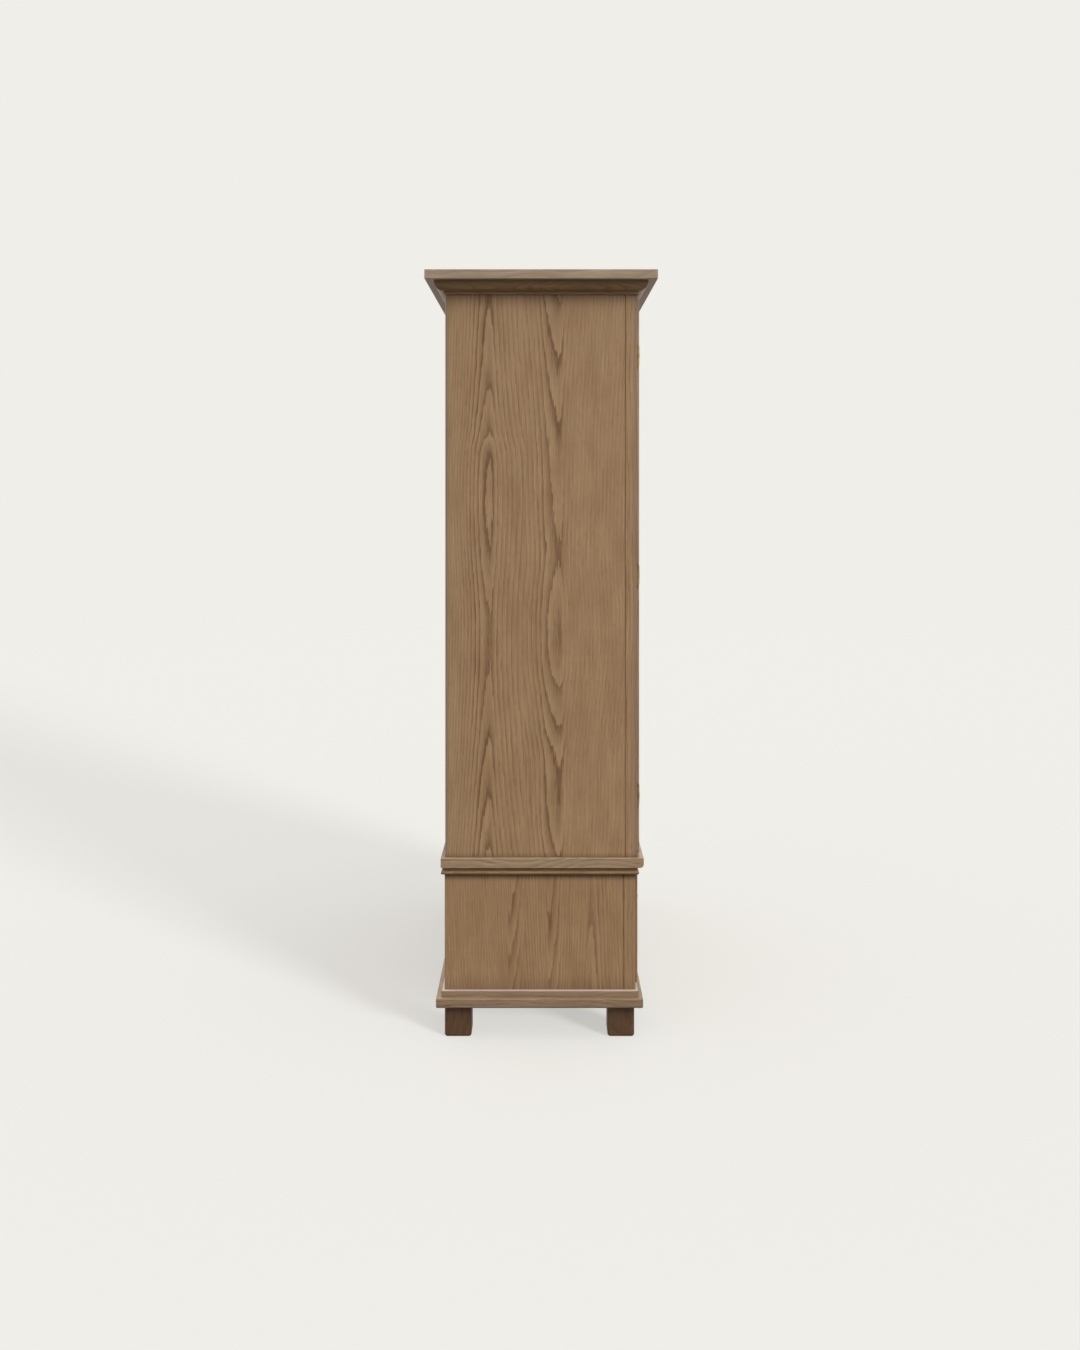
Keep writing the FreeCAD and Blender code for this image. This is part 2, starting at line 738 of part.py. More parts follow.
def frame_hinge_half(z_middle):
    """Frame leaf with the outer knuckles."""
    lower, middle, upper = hinge_knuckle_edges(z_middle)
    around = hinge_knuckle_radius + knuckle_gap
    leaf = box(x_hinge, x_hinge + hinge_leaf_width, y_upper_front - hinge_leaf_thickness, y_upper_front,
               lower[0], upper[1])
    leaf = leaf.cut(box(x_hinge - around, x_hinge + around, y_hinge, y_upper_front, lower[1], upper[0]))
    leaf = leaf.fuse([knuckle(*lower), knuckle(*upper)])
    return one_solid(leaf.cut(hinge_bore(lower[0], upper[1])))


def hinge_pin(z_middle):
    """Pin with a ball tip at each end, held in the frame's knuckles."""
    half = hinge_length / 2 + knuckle_gap
    rod = Part.makeCylinder(hinge_pin_radius, 2 * half, Vector(x_hinge, y_hinge, z_middle - half))
    tips = []
    for sign in (-1, 1):
        centre = Vector(x_hinge, y_hinge, z_middle + sign * (half + hinge_tip_radius))
        tips.append(Part.makeSphere(hinge_tip_radius, centre))
        rod = rod.fuse(Part.makeCylinder(hinge_pin_radius, hinge_tip_radius,
                                         Vector(x_hinge, y_hinge, z_middle + sign * half),
                                         Vector(0, 0, sign)))
    return one_solid(rod.fuse(tips))


def knob(x, z):
    """A turned knob: a rose, a waisted neck and a mushroom head."""
    centre = Vector(x, y_door_face, z)
    at = turning_point(centre)
    neck_start = at(knob_rose_depth, 0.5 * knob_radius)
    waist = at(0.4 * knob_length, 0.36 * knob_radius)
    flare = at(0.58 * knob_length, 0.66 * knob_radius)
    widest = at(0.72 * knob_length, knob_radius)
    brow = at(0.9 * knob_length, 0.8 * knob_radius)
    crown = at(knob_length, 0)
    return turned(centre, [
        line(at(0, 0), at(0, knob_rose_radius)),
        line(at(0, knob_rose_radius), at(rose_edge, knob_rose_radius)),
        line(at(rose_edge, knob_rose_radius), neck_start),
        curve([neck_start, waist, flare, widest, brow, crown]),
    ])


def catch_body():
    """Magnet catch on the back of the top rail, reaching forward under it to the door."""
    x0 = catch_from_middle
    x1 = x0 + catch_width
    y_magnet = y_door_back + strike_thickness + catch_gap
    y_rail_back = y_upper_front + frame_thickness
    top = z_upper_opening[1] - wood_gap
    magnet = box(x0, x1, y_magnet, y_rail_back + catch_flange_thickness, top - catch_height, top)
    flange = box(x0, x1, y_rail_back, y_rail_back + catch_flange_thickness, top, top + catch_height)
    return one_solid(magnet.fuse(flange))


def strike_plate():
    top = z_upper_opening[1] - wood_gap
    return box(catch_from_middle + seat, catch_from_middle + catch_width - seat,
               y_door_back, y_door_back + strike_thickness, top - catch_height, top - wood_gap)


def build_doors():
    blank = door_blank()
    tenons = door_tenons(0)
    mortises = door_tenons(seat)
    far = 2 * front_thickness         # clear of both faces of the door
    hinge_stile_zone = box(x_stile_outer_sight, x_door_lip, y_door_face - far, y_door_back + far,
                           z_door_bottom, z_door_top)
    meeting_stile_zone = box(x_door_inner, x_stile_inner_sight, y_door_face - far, y_door_back + far,
                             z_door_bottom, z_door_top)
    leaf_seats = [door_leaf(z, seat / 2) for z in hinge_levels()]
    hinge_stile = one_solid(blank.common(hinge_stile_zone).cut(mortises + leaf_seats))
    meeting_stile = one_solid(blank.common(meeting_stile_zone).cut(mortises))
    rails = []
    for index, (z0, z1) in enumerate(door_rails()):
        zone = box(x_stile_inner_sight, x_stile_outer_sight, y_door_face - far, y_door_back + far, z0, z1)
        rails.append(one_solid(blank.common(zone).fuse(tenons[2 * index:2 * index + 2])))
    panels = [door_panel(z0, z1) for z0, z1 in door_panel_openings()]
    door_knob = knob((x_door_inner + x_stile_inner_sight) / 2, z_door_bottom + knob_height)
    leaves = [door_hinge_half(z) for z in hinge_levels()]
    for name, side in (("left", -1), ("right", 1)):
        save(f"door_{name}_hinge_stile", sided(hinge_stile, side))
        save(f"door_{name}_meeting_stile", sided(meeting_stile, side))
        save(f"door_{name}_rails", *[sided(rail, side) for rail in rails])
        save(f"door_{name}_panels", *[sided(panel, side) for panel in panels])
        save(f"door_{name}_knob", sided(door_knob, side))
        save(f"door_{name}_hinge_leaves", *[sided(leaf, side) for leaf in leaves])
        save(f"door_{name}_strike", sided(strike_plate(), side))


def build_door_fittings():
    sides = (-1, 1)
    save("hinge_frame_leaves", *[sided(frame_hinge_half(z), side) for side in sides for z in hinge_levels()])
    save("hinge_pins", *[sided(hinge_pin(z), side) for side in sides for z in hinge_levels()])
    save("door_catches", *[sided(catch_body(), side) for side in sides])


# ---------------------------------------------------------------- drawers

x_drawer_outer = x_opening - wood_gap
x_drawer_inner = muntin_width / 2 + wood_gap
x_drawer_middle = (x_opening + muntin_width / 2) / 2
y_drawer_shoulder = y_drawer_face + front_thickness
y_drawer_end = y_lower_back - back_thickness - drawer_back_gap
z_box_bottom = z_lower_opening[0] + drawer_box_lift
z_box_top = z_box_bottom + drawer_side_height
z_runner = (z_box_bottom + z_box_top) / 2
z_panel_groove = z_box_bottom + drawer_bottom_lift


def tails(x0, x1, y_shoulder, y_end):
    """Dovetails on the end of a drawer side, wider at the end than at the shoulder."""
    count = max(2, round(drawer_side_height / dovetail_pitch))
    pitch = drawer_side_height / count
    wide = min(dovetail_width, 0.8 * pitch) / 2
    narrow = wide - abs(y_end - y_shoulder) * math.tan(math.radians(dovetail_slope))
    shapes = []
    for index in range(count):
        z = z_box_bottom + pitch * (index + 0.5)
        outline = Part.makePolygon([
            Vector(x0, y_shoulder, z - narrow), Vector(x0, y_end, z - wide),
            Vector(x0, y_end, z + wide), Vector(x0, y_shoulder, z + narrow),
            Vector(x0, y_shoulder, z - narrow),
        ])
        shapes.append(Part.Face(outline).extrude(Vector(x1 - x0, 0, 0)))
    return shapes


def drawer_sides_x():
    """Inner and outer faces of the two sides of the right-hand drawer."""
    return ((x_drawer_inner + drawer_side_thickness, x_drawer_inner),
            (x_drawer_outer - drawer_side_thickness, x_drawer_outer))


def drawer_tails(x_inner, x_outer):
    front = tails(x_inner, x_outer, y_drawer_shoulder, y_drawer_shoulder - dovetail_length)
    back = tails(x_inner, x_outer, y_drawer_end - drawer_side_thickness, y_drawer_end)
    return front, back


def runner_slot(x_inner, x_outer):
    """The groove in a drawer side that rides on its runner, open at the back."""
    towards = 1 if x_inner > x_outer else -1
    half = runner_height / 2 + runner_gap
    y_start = y_lower_front + frame_thickness - wood_gap
    return box(x_outer, x_outer + towards * runner_groove_depth, y_start, y_drawer_end,
               z_runner - half, z_runner + half)


def bottom_slot():
    """Room for the bottom panel in the front and sides."""
    play = seat / 2
    reach = drawer_bottom_groove
    return box(x_drawer_inner + drawer_side_thickness - reach, x_drawer_outer - drawer_side_thickness + reach,
               y_drawer_shoulder - reach, y_drawer_end,
               z_panel_groove - play, z_panel_groove + drawer_bottom_thickness + play)


def drawer_side(x_inner, x_outer):
    front_tails, back_tails = drawer_tails(x_inner, x_outer)
    board = box(x_inner, x_outer, y_drawer_shoulder, y_drawer_end - drawer_side_thickness,
                z_box_bottom, z_box_top)
    board = board.fuse(front_tails + back_tails)
    return one_solid(board.cut([runner_slot(x_inner, x_outer), bottom_slot()]))


def drawer_front():
    """A lipped front with a rounded lip, socketed for the sides' tails."""
    lip_inner = muntin_width / 2 - lip_overlap
    lip = box(lip_inner, x_opening + lip_overlap, y_drawer_face, y_drawer_face + lip_thickness,
              z_drawer_bottom, z_drawer_top)
    lip = fillet_where(lip, lip_radius, lambda b: level(b.YMin, b.YMax, y_drawer_face))
    low, high = z_lower_opening
    body = box(x_drawer_inner, x_drawer_outer, y_drawer_face + lip_thickness, y_drawer_shoulder,
               low + wood_gap, high - wood_gap)
    sockets = [bottom_slot()]
    for x_inner, x_outer in drawer_sides_x():
        sockets += drawer_tails(x_inner, x_outer)[0]
    return one_solid(lip.fuse(body).cut(sockets))


def drawer_back():
    """The back stands on the bottom panel and holds pins between the sides' tails."""
    z0 = z_panel_groove + drawer_bottom_thickness + seat
    board = box(x_drawer_inner, x_drawer_outer, y_drawer_end - drawer_side_thickness, y_drawer_end,
                z0, z_box_top)
    cutters = []
    for x_inner, x_outer in drawer_sides_x():
        cutters += drawer_tails(x_inner, x_outer)[1]
        cutters.append(runner_slot(x_inner, x_outer))
    return one_solid(board.cut(cutters))


def drawer_bottom():
    reach = drawer_bottom_groove - seat
    return box(x_drawer_inner + drawer_side_thickness - reach, x_drawer_outer - drawer_side_thickness + reach,
               y_drawer_shoulder - reach, y_drawer_end,
               z_panel_groove, z_panel_groove + drawer_bottom_thickness)


def runners():
    """Hardwood strips on the sides and the partition that the drawer sides ride on."""
    y0 = y_lower_front + frame_thickness
    y1 = y_lower_back - back_thickness
    z0 = z_runner - runner_height / 2
    reach = runner_groove_depth - runner_side_gap
    outer = box(x_inside, x_drawer_outer - reach, y0, y1, z0, z0 + runner_height)
    inner = box(partition_thickness / 2, x_drawer_inner + reach, y0, y1, z0, z0 + runner_height)
    return [sided(strip, side) for side in (-1, 1) for strip in (outer, inner)]


z_bail_eye = (z_drawer_bottom + z_drawer_top) / 2 + bail_eye_height
y_bail_eye = y_drawer_face - post_length + post_ball_radius


def bail_post(x):
    """A rose, a short neck and a ball bored crossways for the bail's end."""
    centre = Vector(x, y_drawer_face, z_bail_eye)
    at = turning_point(centre)
    to_ball = post_length - post_ball_radius
    ball_start = to_ball - math.sqrt(post_ball_radius ** 2 - post_neck_radius ** 2)
    ball_side = to_ball + post_ball_radius * math.sin(math.radians(20))
    ball_wide = post_ball_radius * math.cos(math.radians(20))
    post = turned(centre, [
        line(at(0, 0), at(0, post_rose_radius)),
        line(at(0, post_rose_radius), at(rose_edge, post_rose_radius)),
        line(at(rose_edge, post_rose_radius), at(2 * rose_edge, post_neck_radius)),
        line(at(2 * rose_edge, post_neck_radius), at(ball_start, post_neck_radius)),
        Part.Arc(at(ball_start, post_neck_radius), at(ball_side, ball_wide), at(post_length, 0)).toShape(),
    ])
    bore = Part.makeCylinder(bail_rod_radius + pin_gap, 4 * post_ball_radius,
                             Vector(x - 2 * post_ball_radius, y_bail_eye, z_bail_eye), Vector(1, 0, 0))
    return one_solid(post.cut(bore))


def bail(x_middle):
    """A round rod bent to a shallow U, its ends turned out into the posts."""
    eye = bail_centres / 2 + post_ball_radius / 2
    arm = bail_centres / 2 - post_ball_radius - bail_corner_radius / 2
    small = bail_corner_radius / 2
    large = bail_corner_radius

    def at(x, z):
        return Vector(x_middle + x, y_bail_eye, z_bail_eye + z)

    right = [
        line(at(eye, 0), at(arm + small, 0)),
        quarter_arc(at(arm + small, 0), at(arm + small, -small), at(arm, -small)),
        line(at(arm, -small), at(arm, large - bail_drop)),
        quarter_arc(at(arm, large - bail_drop), at(arm - large, large - bail_drop),
                    at(arm - large, -bail_drop)),
    ]
    left = [
        quarter_arc(at(large - arm, -bail_drop), at(large - arm, large - bail_drop),
                    at(-arm, large - bail_drop)),
        line(at(-arm, large - bail_drop), at(-arm, -small)),
        quarter_arc(at(-arm, -small), at(-arm - small, -small), at(-arm - small, 0)),
        line(at(-arm - small, 0), at(-eye, 0)),
    ]
    path = Part.Wire(right + [line(at(arm - large, -bail_drop), at(large - arm, -bail_drop))] + left)
    section = Part.Wire(Part.makeCircle(bail_rod_radius, at(eye, 0), Vector(1, 0, 0)))
    return path.makePipeShell([section], True, False)


def build_drawers():
    posts = [bail_post(x_drawer_middle + sign * bail_centres / 2) for sign in (-1, 1)]
    pieces = {
        "front": [drawer_front()],
        "sides": [drawer_side(*faces) for faces in drawer_sides_x()],
        "back": [drawer_back()],
        "bottom": [drawer_bottom()],
        "handle_posts": posts,
        "bail": [bail(x_drawer_middle)],
    }
    for name, side in (("left", -1), ("right", 1)):
        for piece, solids in pieces.items():
            save(f"drawer_{name}_{piece}", *[sided(solid, side) for solid in solids])
    save("drawer_runners", *runners())


build_surround()
build_lower_case()
build_upper_case()
build_doors()
build_door_fittings()
build_drawers()
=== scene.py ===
import math

import bpy
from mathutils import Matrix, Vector


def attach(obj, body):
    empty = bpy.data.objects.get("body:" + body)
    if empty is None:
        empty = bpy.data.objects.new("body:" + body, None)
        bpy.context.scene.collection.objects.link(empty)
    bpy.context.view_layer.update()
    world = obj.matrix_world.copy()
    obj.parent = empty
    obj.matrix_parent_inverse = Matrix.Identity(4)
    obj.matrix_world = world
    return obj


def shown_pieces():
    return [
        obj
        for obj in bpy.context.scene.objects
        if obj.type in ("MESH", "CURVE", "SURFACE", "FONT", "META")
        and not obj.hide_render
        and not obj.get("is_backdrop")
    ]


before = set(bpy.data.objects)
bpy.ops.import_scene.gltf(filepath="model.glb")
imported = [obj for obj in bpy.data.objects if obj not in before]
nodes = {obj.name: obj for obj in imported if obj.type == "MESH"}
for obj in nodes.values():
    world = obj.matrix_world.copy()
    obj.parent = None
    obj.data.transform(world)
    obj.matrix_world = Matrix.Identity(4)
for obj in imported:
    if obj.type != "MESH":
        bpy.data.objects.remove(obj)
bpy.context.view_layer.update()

# A linen press in brown oak, dressed over its construction model: every board gets oak sawn for its
# place, the linings poplar, the fittings aged brass.  Metres; sizes of patterns are in millimetres.

MM = 0.001


# ---------------------------------------------------------------- shader helpers

def linear(hex_colour):
    """An sRGB colour such as '8d7155' as linear RGBA."""
    parts = [int(hex_colour[i:i + 2], 16) / 255 for i in (0, 2, 4)]
    return [c / 12.92 if c <= 0.04045 else ((c + 0.055) / 1.055) ** 2.4 for c in parts] + [1.0]


def add(tree, kind, inputs=None, **settings):
    """Add a shader node with its settings. An input is a value, a socket, or a node's first output."""
    made = tree.nodes.new(kind)
    for name, value in settings.items():
        setattr(made, name, value)
    for key, value in (inputs or {}).items():
        if isinstance(value, bpy.types.Node):
            value = value.outputs[0]
        if isinstance(value, bpy.types.NodeSocket):
            tree.links.new(value, made.inputs[key])
        else:
            made.inputs[key].default_value = value
    return made


def empty_material(name):
    material = bpy.data.materials.new(name)
    material.use_nodes = True
    material.node_tree.nodes.clear()
    return material, material.node_tree


def steps(ramp_node, stops):
    """Set a colour ramp's stops from (place, value or colour) pairs."""
    ramp = ramp_node.color_ramp
    while len(ramp.elements) < len(stops):
        ramp.elements.new(0.5)
    for element, (place, value) in zip(ramp.elements, stops):
        element.position = place
        element.color = value if isinstance(value, (list, tuple)) else (value, value, value, 1.0)
    return ramp_node


# ---------------------------------------------------------------- oak

# Matt oiled oak: a brown stain that sits darker in the porous early wood of each ring, with a
# greyish wash over it.  The solid wood is cut from rings round a pith, so a face shows arches
# where it lies flat to the rings and fine lines where it doesn't, and ends show end grain.
OAK = ("a98865", "6b4a2d")
OAK_CAP = ("ae9982", "836c52")
OAK_BELT = ("aa9073", "6f5238")
OAK_BASE = ("9b8167", "624830")
OAK_LOWER = ("a68461", "6b4b2f")
# The bead's oak is darker as painted shade under the belt's overhang.
OAK_BEAD_SHADED = ("93734f", "5f4229")
# The feet's oak is darker, partly as painted shade under the base board.
OAK_FOOT_SHADED = ("60452f", "3d2a1b")
OAK_INSIDE = ("a58a68", "84684a")
OAK_BACK = ("92785b", "6d523b")
POPLAR = ("c9b28d", "ab9068")

RING_WIDTH = 6.5           # one year's growth
PORE_WIDTH = 1.3           # drawn four times too coarse, so that it shows
PORE_LENGTH = 26.0
PORE_DARKNESS = 0.55       # share of the dark tone in a pore
FIBRE_WIDTH = 3.0
FIBRE_LENGTH = 170.0
WASH_WIDTH = 42.0          # patches of the greyish wash
WASH_LENGTH = 150.0
FIBRE_TONES = [(0.3, 0.78), (0.46, 0.97), (0.56, 1.0), (0.64, 1.17)]
WASH_TONES = [(0.36, (0.91, 0.88, 0.85, 1)), (0.5, (0.98, 0.98, 0.98, 1)), (0.64, (1.05, 1.06, 1.07, 1))]
LATE_LIFT = 0.12           # how much lighter late wood is, just before a dark line
RAGGED = 3.0               # how far fibres pull a line of grain aside
SHADE_REACH_IN_CREVICES = 12.0             # how far out of an inner corner shade is painted in, read from ambient occlusion
SHADE_TONE_IN_CREVICES = 0.78        # and how dark it is in the corner
RIM_SHEEN = "857462"             # grey sheen painted on the arrises
RIM_WIDTH_END = 13.0       # seen on the end, with its share of grey
RIM_SHARE = 0.7
RIM_WIDTH_FRONT = 7.0      # seen on the front
BOARD_TONES = (0.94, 0.12) # the darkest board of a glued-up panel, and how much lighter the others get
BOARDS_APART = 3700.0      # how far along the tree the boards of a panel are spread
PIECES_APART = 911.0       # and one piece from the next
FIRST_DRAW = 7.3           # from which each board's chance is drawn

# Width and length of the patches in which the grain bends, is ragged and is uneven, and the length
# along the tree over which the pith rises.
BEND_WIDTH, BEND_LENGTH = 80.0, 420.0
RAGGED_WIDTH, RAGGED_LENGTH = 4.0, 40.0
UNEVEN_WIDTH, UNEVEN_LENGTH = 14.0, 90.0
RISE_LENGTH = 330.0

# The range of a figure's curves: height and rings up a board, and place and rings across it.
FIGURE_HEIGHT, FIGURE_RINGS_UP = 2000.0, 10.0
FIGURE_REACH, FIGURE_RINGS_ACROSS = 200.0, 30.0


def sawn_position(tree, sep, grain, across, mitre):
    """Sockets (across, depth, along) in millimetres for a board's own frame."""
    axes = {name: sep.outputs[name] for name in "XYZ"}
    if mitre is None:
        depth = next(name for name in "XYZ" if name not in (grain, across))
        return axes[across], axes[depth], axes[grain]
    half_x, half_y, y_middle = mitre
    out_x = add(tree, "ShaderNodeMath", {0: add(tree, "ShaderNodeMath", {0: axes["X"]}, operation="ABSOLUTE"),
                                         1: half_x}, operation="SUBTRACT")
    from_middle = add(tree, "ShaderNodeMath", {0: axes["Y"], 1: y_middle}, operation="SUBTRACT")
    out_y = add(tree, "ShaderNodeMath", {0: add(tree, "ShaderNodeMath", {0: from_middle}, operation="ABSOLUTE"),
                                         1: half_y}, operation="SUBTRACT")
    on_end = add(tree, "ShaderNodeMath", {0: out_x, 1: out_y}, operation="GREATER_THAN")
    along = add(tree, "ShaderNodeMix", {0: on_end, 2: axes["X"], 3: axes["Y"]})
    outward = add(tree, "ShaderNodeMath", {0: out_x, 1: out_y}, operation="MAXIMUM")
    return outward.outputs[0], axes["Z"], along.outputs[0]


def plotted(tree, place, points, low, high, top):
    """A smooth curve through (place, value) points, for places from low to high and values up to top."""
    share = add(tree, "ShaderNodeMapRange", {0: place, 1: low, 2: high})
    curve = add(tree, "ShaderNodeFloatCurve", {"Value": share})
    marks = curve.mapping.curves[0].points
    while len(marks) < len(points):
        marks.new(0.5, 0.5)
    for mark, (where, value) in zip(marks, points):
        mark.location = ((where - low) / (high - low), value / top)
    curve.mapping.update()
    return add(tree, "ShaderNodeMath", {0: curve, 1: top}, operation="MULTIPLY")


def figured_rings(tree, across, depth, along, figure):
    """Count and strength of the rings of flat-sawn boards whose arches are listed."""
    rings = strength = None
    for start, centre, up, out, force in figure:
        beside = add(tree, "ShaderNodeMath", {0: across, 1: centre}, operation="SUBTRACT")
        arches = plotted(tree, along, up, 0.0, FIGURE_HEIGHT, FIGURE_RINGS_UP)
        sides = plotted(tree, beside, out, -FIGURE_REACH, FIGURE_REACH, FIGURE_RINGS_ACROSS)
        count = add(tree, "ShaderNodeMath", {0: arches, 1: sides}, operation="ADD")
        share = plotted(tree, beside, force, -FIGURE_REACH, FIGURE_REACH, 1.0)
        if rings is None:
            rings, strength = count.outputs[0], share.outputs[0]
        else:
            ours = add(tree, "ShaderNodeMath", {0: across, 1: start}, operation="GREATER_THAN")
            rings = add(tree, "ShaderNodeMix", {0: ours, 2: rings, 3: count}).outputs[0]
            strength = add(tree, "ShaderNodeMix", {0: ours, 2: strength, 3: share}).outputs[0]
    deeper = add(tree, "ShaderNodeMath", {0: depth, 1: RING_WIDTH}, operation="DIVIDE")
    return add(tree, "ShaderNodeMath", {0: rings, 1: deeper}, operation="ADD"), strength


def glued_up(tree, u, w, boards, pith_u, seed):
    """Split a panel into boards of (start, width), each with its own middle, stretch of the tree and tone."""
    start, width = boards
    place = add(tree, "ShaderNodeMath", {0: u, 1: start - pith_u}, operation="SUBTRACT")
    count = add(tree, "ShaderNodeMath", {0: place, 1: width}, operation="DIVIDE")
    count = add(tree, "ShaderNodeMath", {0: count}, operation="FLOOR")
    draw = add(tree, "ShaderNodeMath", {0: count, 1: FIRST_DRAW + seed}, operation="ADD")
    chance = add(tree, "ShaderNodeTexWhiteNoise", {"W": draw}, noise_dimensions="1D").outputs["Value"]
    inside = add(tree, "ShaderNodeMath", {0: place, 1: width, 2: 0.0}, operation="WRAP")
    shift = add(tree, "ShaderNodeMath", {0: chance, 1: 0.7 * width, 2: 0.15 * width}, operation="MULTIPLY_ADD")
    u = add(tree, "ShaderNodeMath", {0: inside, 1: shift}, operation="SUBTRACT")
    w = add(tree, "ShaderNodeMath", {0: chance, 1: BOARDS_APART, 2: w}, operation="MULTIPLY_ADD")
    tone = add(tree, "ShaderNodeMath", {0: chance, 1: BOARD_TONES[1], 2: BOARD_TONES[0]},
               operation="MULTIPLY_ADD")
    return u, w, tone


def wandering(tree, place, drift):
    """The place in a board, bent slowly by its drift and raggedly at the scale of fibres."""
    bent = place
    for width, length, detail, reach in ((BEND_WIDTH, BEND_LENGTH, 1.5, drift),
                                         (RAGGED_WIDTH, RAGGED_LENGTH, 2.0, (RAGGED, RAGGED, 0))):
        pull = add(tree, "ShaderNodeVectorMath", {0: place, 1: (1 / width, 1 / width, 1 / length)},
                   operation="MULTIPLY")
        pull = add(tree, "ShaderNodeTexNoise", {"Vector": pull, "Scale": 1.0, "Detail": detail})
        pull = add(tree, "ShaderNodeVectorMath", {0: pull.outputs["Color"], 1: (0.5, 0.5, 0.5)},
                   operation="SUBTRACT")
        bent = add(tree, "ShaderNodeVectorMath", {0: pull, 1: reach, 2: bent}, operation="MULTIPLY_ADD")
    return bent


def round_rings(tree, bent, w, lift):
    """Count of the rings round the pith, which rises and dips along the tree by a lift."""
    flat = add(tree, "ShaderNodeVectorMath", {0: bent, 1: (1, 1, 0)}, operation="MULTIPLY")
    radius = add(tree, "ShaderNodeVectorMath", {0: flat}, operation="LENGTH").outputs["Value"]
    count = add(tree, "ShaderNodeMath", {0: radius, 1: RING_WIDTH}, operation="DIVIDE")
    rise = add(tree, "ShaderNodeMath", {0: w, 1: RISE_LENGTH}, operation="DIVIDE")
    rise = add(tree, "ShaderNodeTexNoise", {"W": rise, "Scale": 1.0, "Detail": 1.0}, noise_dimensions="1D")
    rise = add(tree, "ShaderNodeMath", {0: rise, 1: 2 * lift / RING_WIDTH}, operation="MULTIPLY")
    return add(tree, "ShaderNodeMath", {0: count, 1: rise}, operation="ADD")


def seasons(tree, rings, force, steady, place):
    """The dark early wood and the light late wood of each ring, as sockets from 0 to 1.

    Early wood begins sharply and fades. Some years and places are stronger, and steady is the share
    that every place has."""
    phase = add(tree, "ShaderNodeMath", {0: rings}, operation="FRACT")
    early = steps(add(tree, "ShaderNodeValToRGB", {0: phase}),
                  [(0.0, 1.0), (0.1, 0.85), (0.3, 0.3), (0.6, 0.0), (0.95, 0.0), (1.0, 1.0)])
    late = steps(add(tree, "ShaderNodeValToRGB", {0: phase}), [(0.45, 0.0), (0.8, 1.0), (0.93, 1.0), (0.97, 0.0)])
    uneven = add(tree, "ShaderNodeVectorMath",
                 {0: place, 1: (1 / UNEVEN_WIDTH, 1 / UNEVEN_WIDTH, 1 / UNEVEN_LENGTH)}, operation="MULTIPLY")
    uneven = add(tree, "ShaderNodeTexNoise", {"Vector": uneven, "Scale": 1.0, "Detail": 2.0})
    uneven = add(tree, "ShaderNodeMapRange", {0: uneven, 1: 0.38, 2: 0.6, 3: steady, 4: 1.0})
    year = add(tree, "ShaderNodeMath", {0: rings}, operation="FLOOR")
    year = add(tree, "ShaderNodeTexWhiteNoise", {"W": year}, noise_dimensions="1D")
    year = add(tree, "ShaderNodeMath", {0: year, 1: 0.4, 2: 0.7}, operation="MULTIPLY_ADD")
    for strength in (force, uneven, year):
        early = add(tree, "ShaderNodeMath", {0: early, 1: strength}, operation="MULTIPLY")
    return early, add(tree, "ShaderNodeMath", {0: late, 1: uneven}, operation="MULTIPLY")


def sheen_share(tree, mm, corner):
    """1 on the arrises of a case's upright corners at (x, y), where a grey sheen is painted, fading along the end
    and the front.
    """
    sizes = add(tree, "ShaderNodeVectorMath", {0: mm}, operation="ABSOLUTE")
    sizes = add(tree, "ShaderNodeSeparateXYZ", {0: sizes})
    near_x = add(tree, "ShaderNodeMapRange", {0: sizes.outputs["X"], 1: corner[0] - RIM_WIDTH_FRONT,
                                              2: corner[0] - 1.0})
    near_y = add(tree, "ShaderNodeMapRange", {0: sizes.outputs["Y"], 1: corner[1] - RIM_WIDTH_END,
                                              2: corner[1] - 3.0, 4: RIM_SHARE})
    return add(tree, "ShaderNodeMath", {0: near_x, 1: near_y}, operation="MULTIPLY")


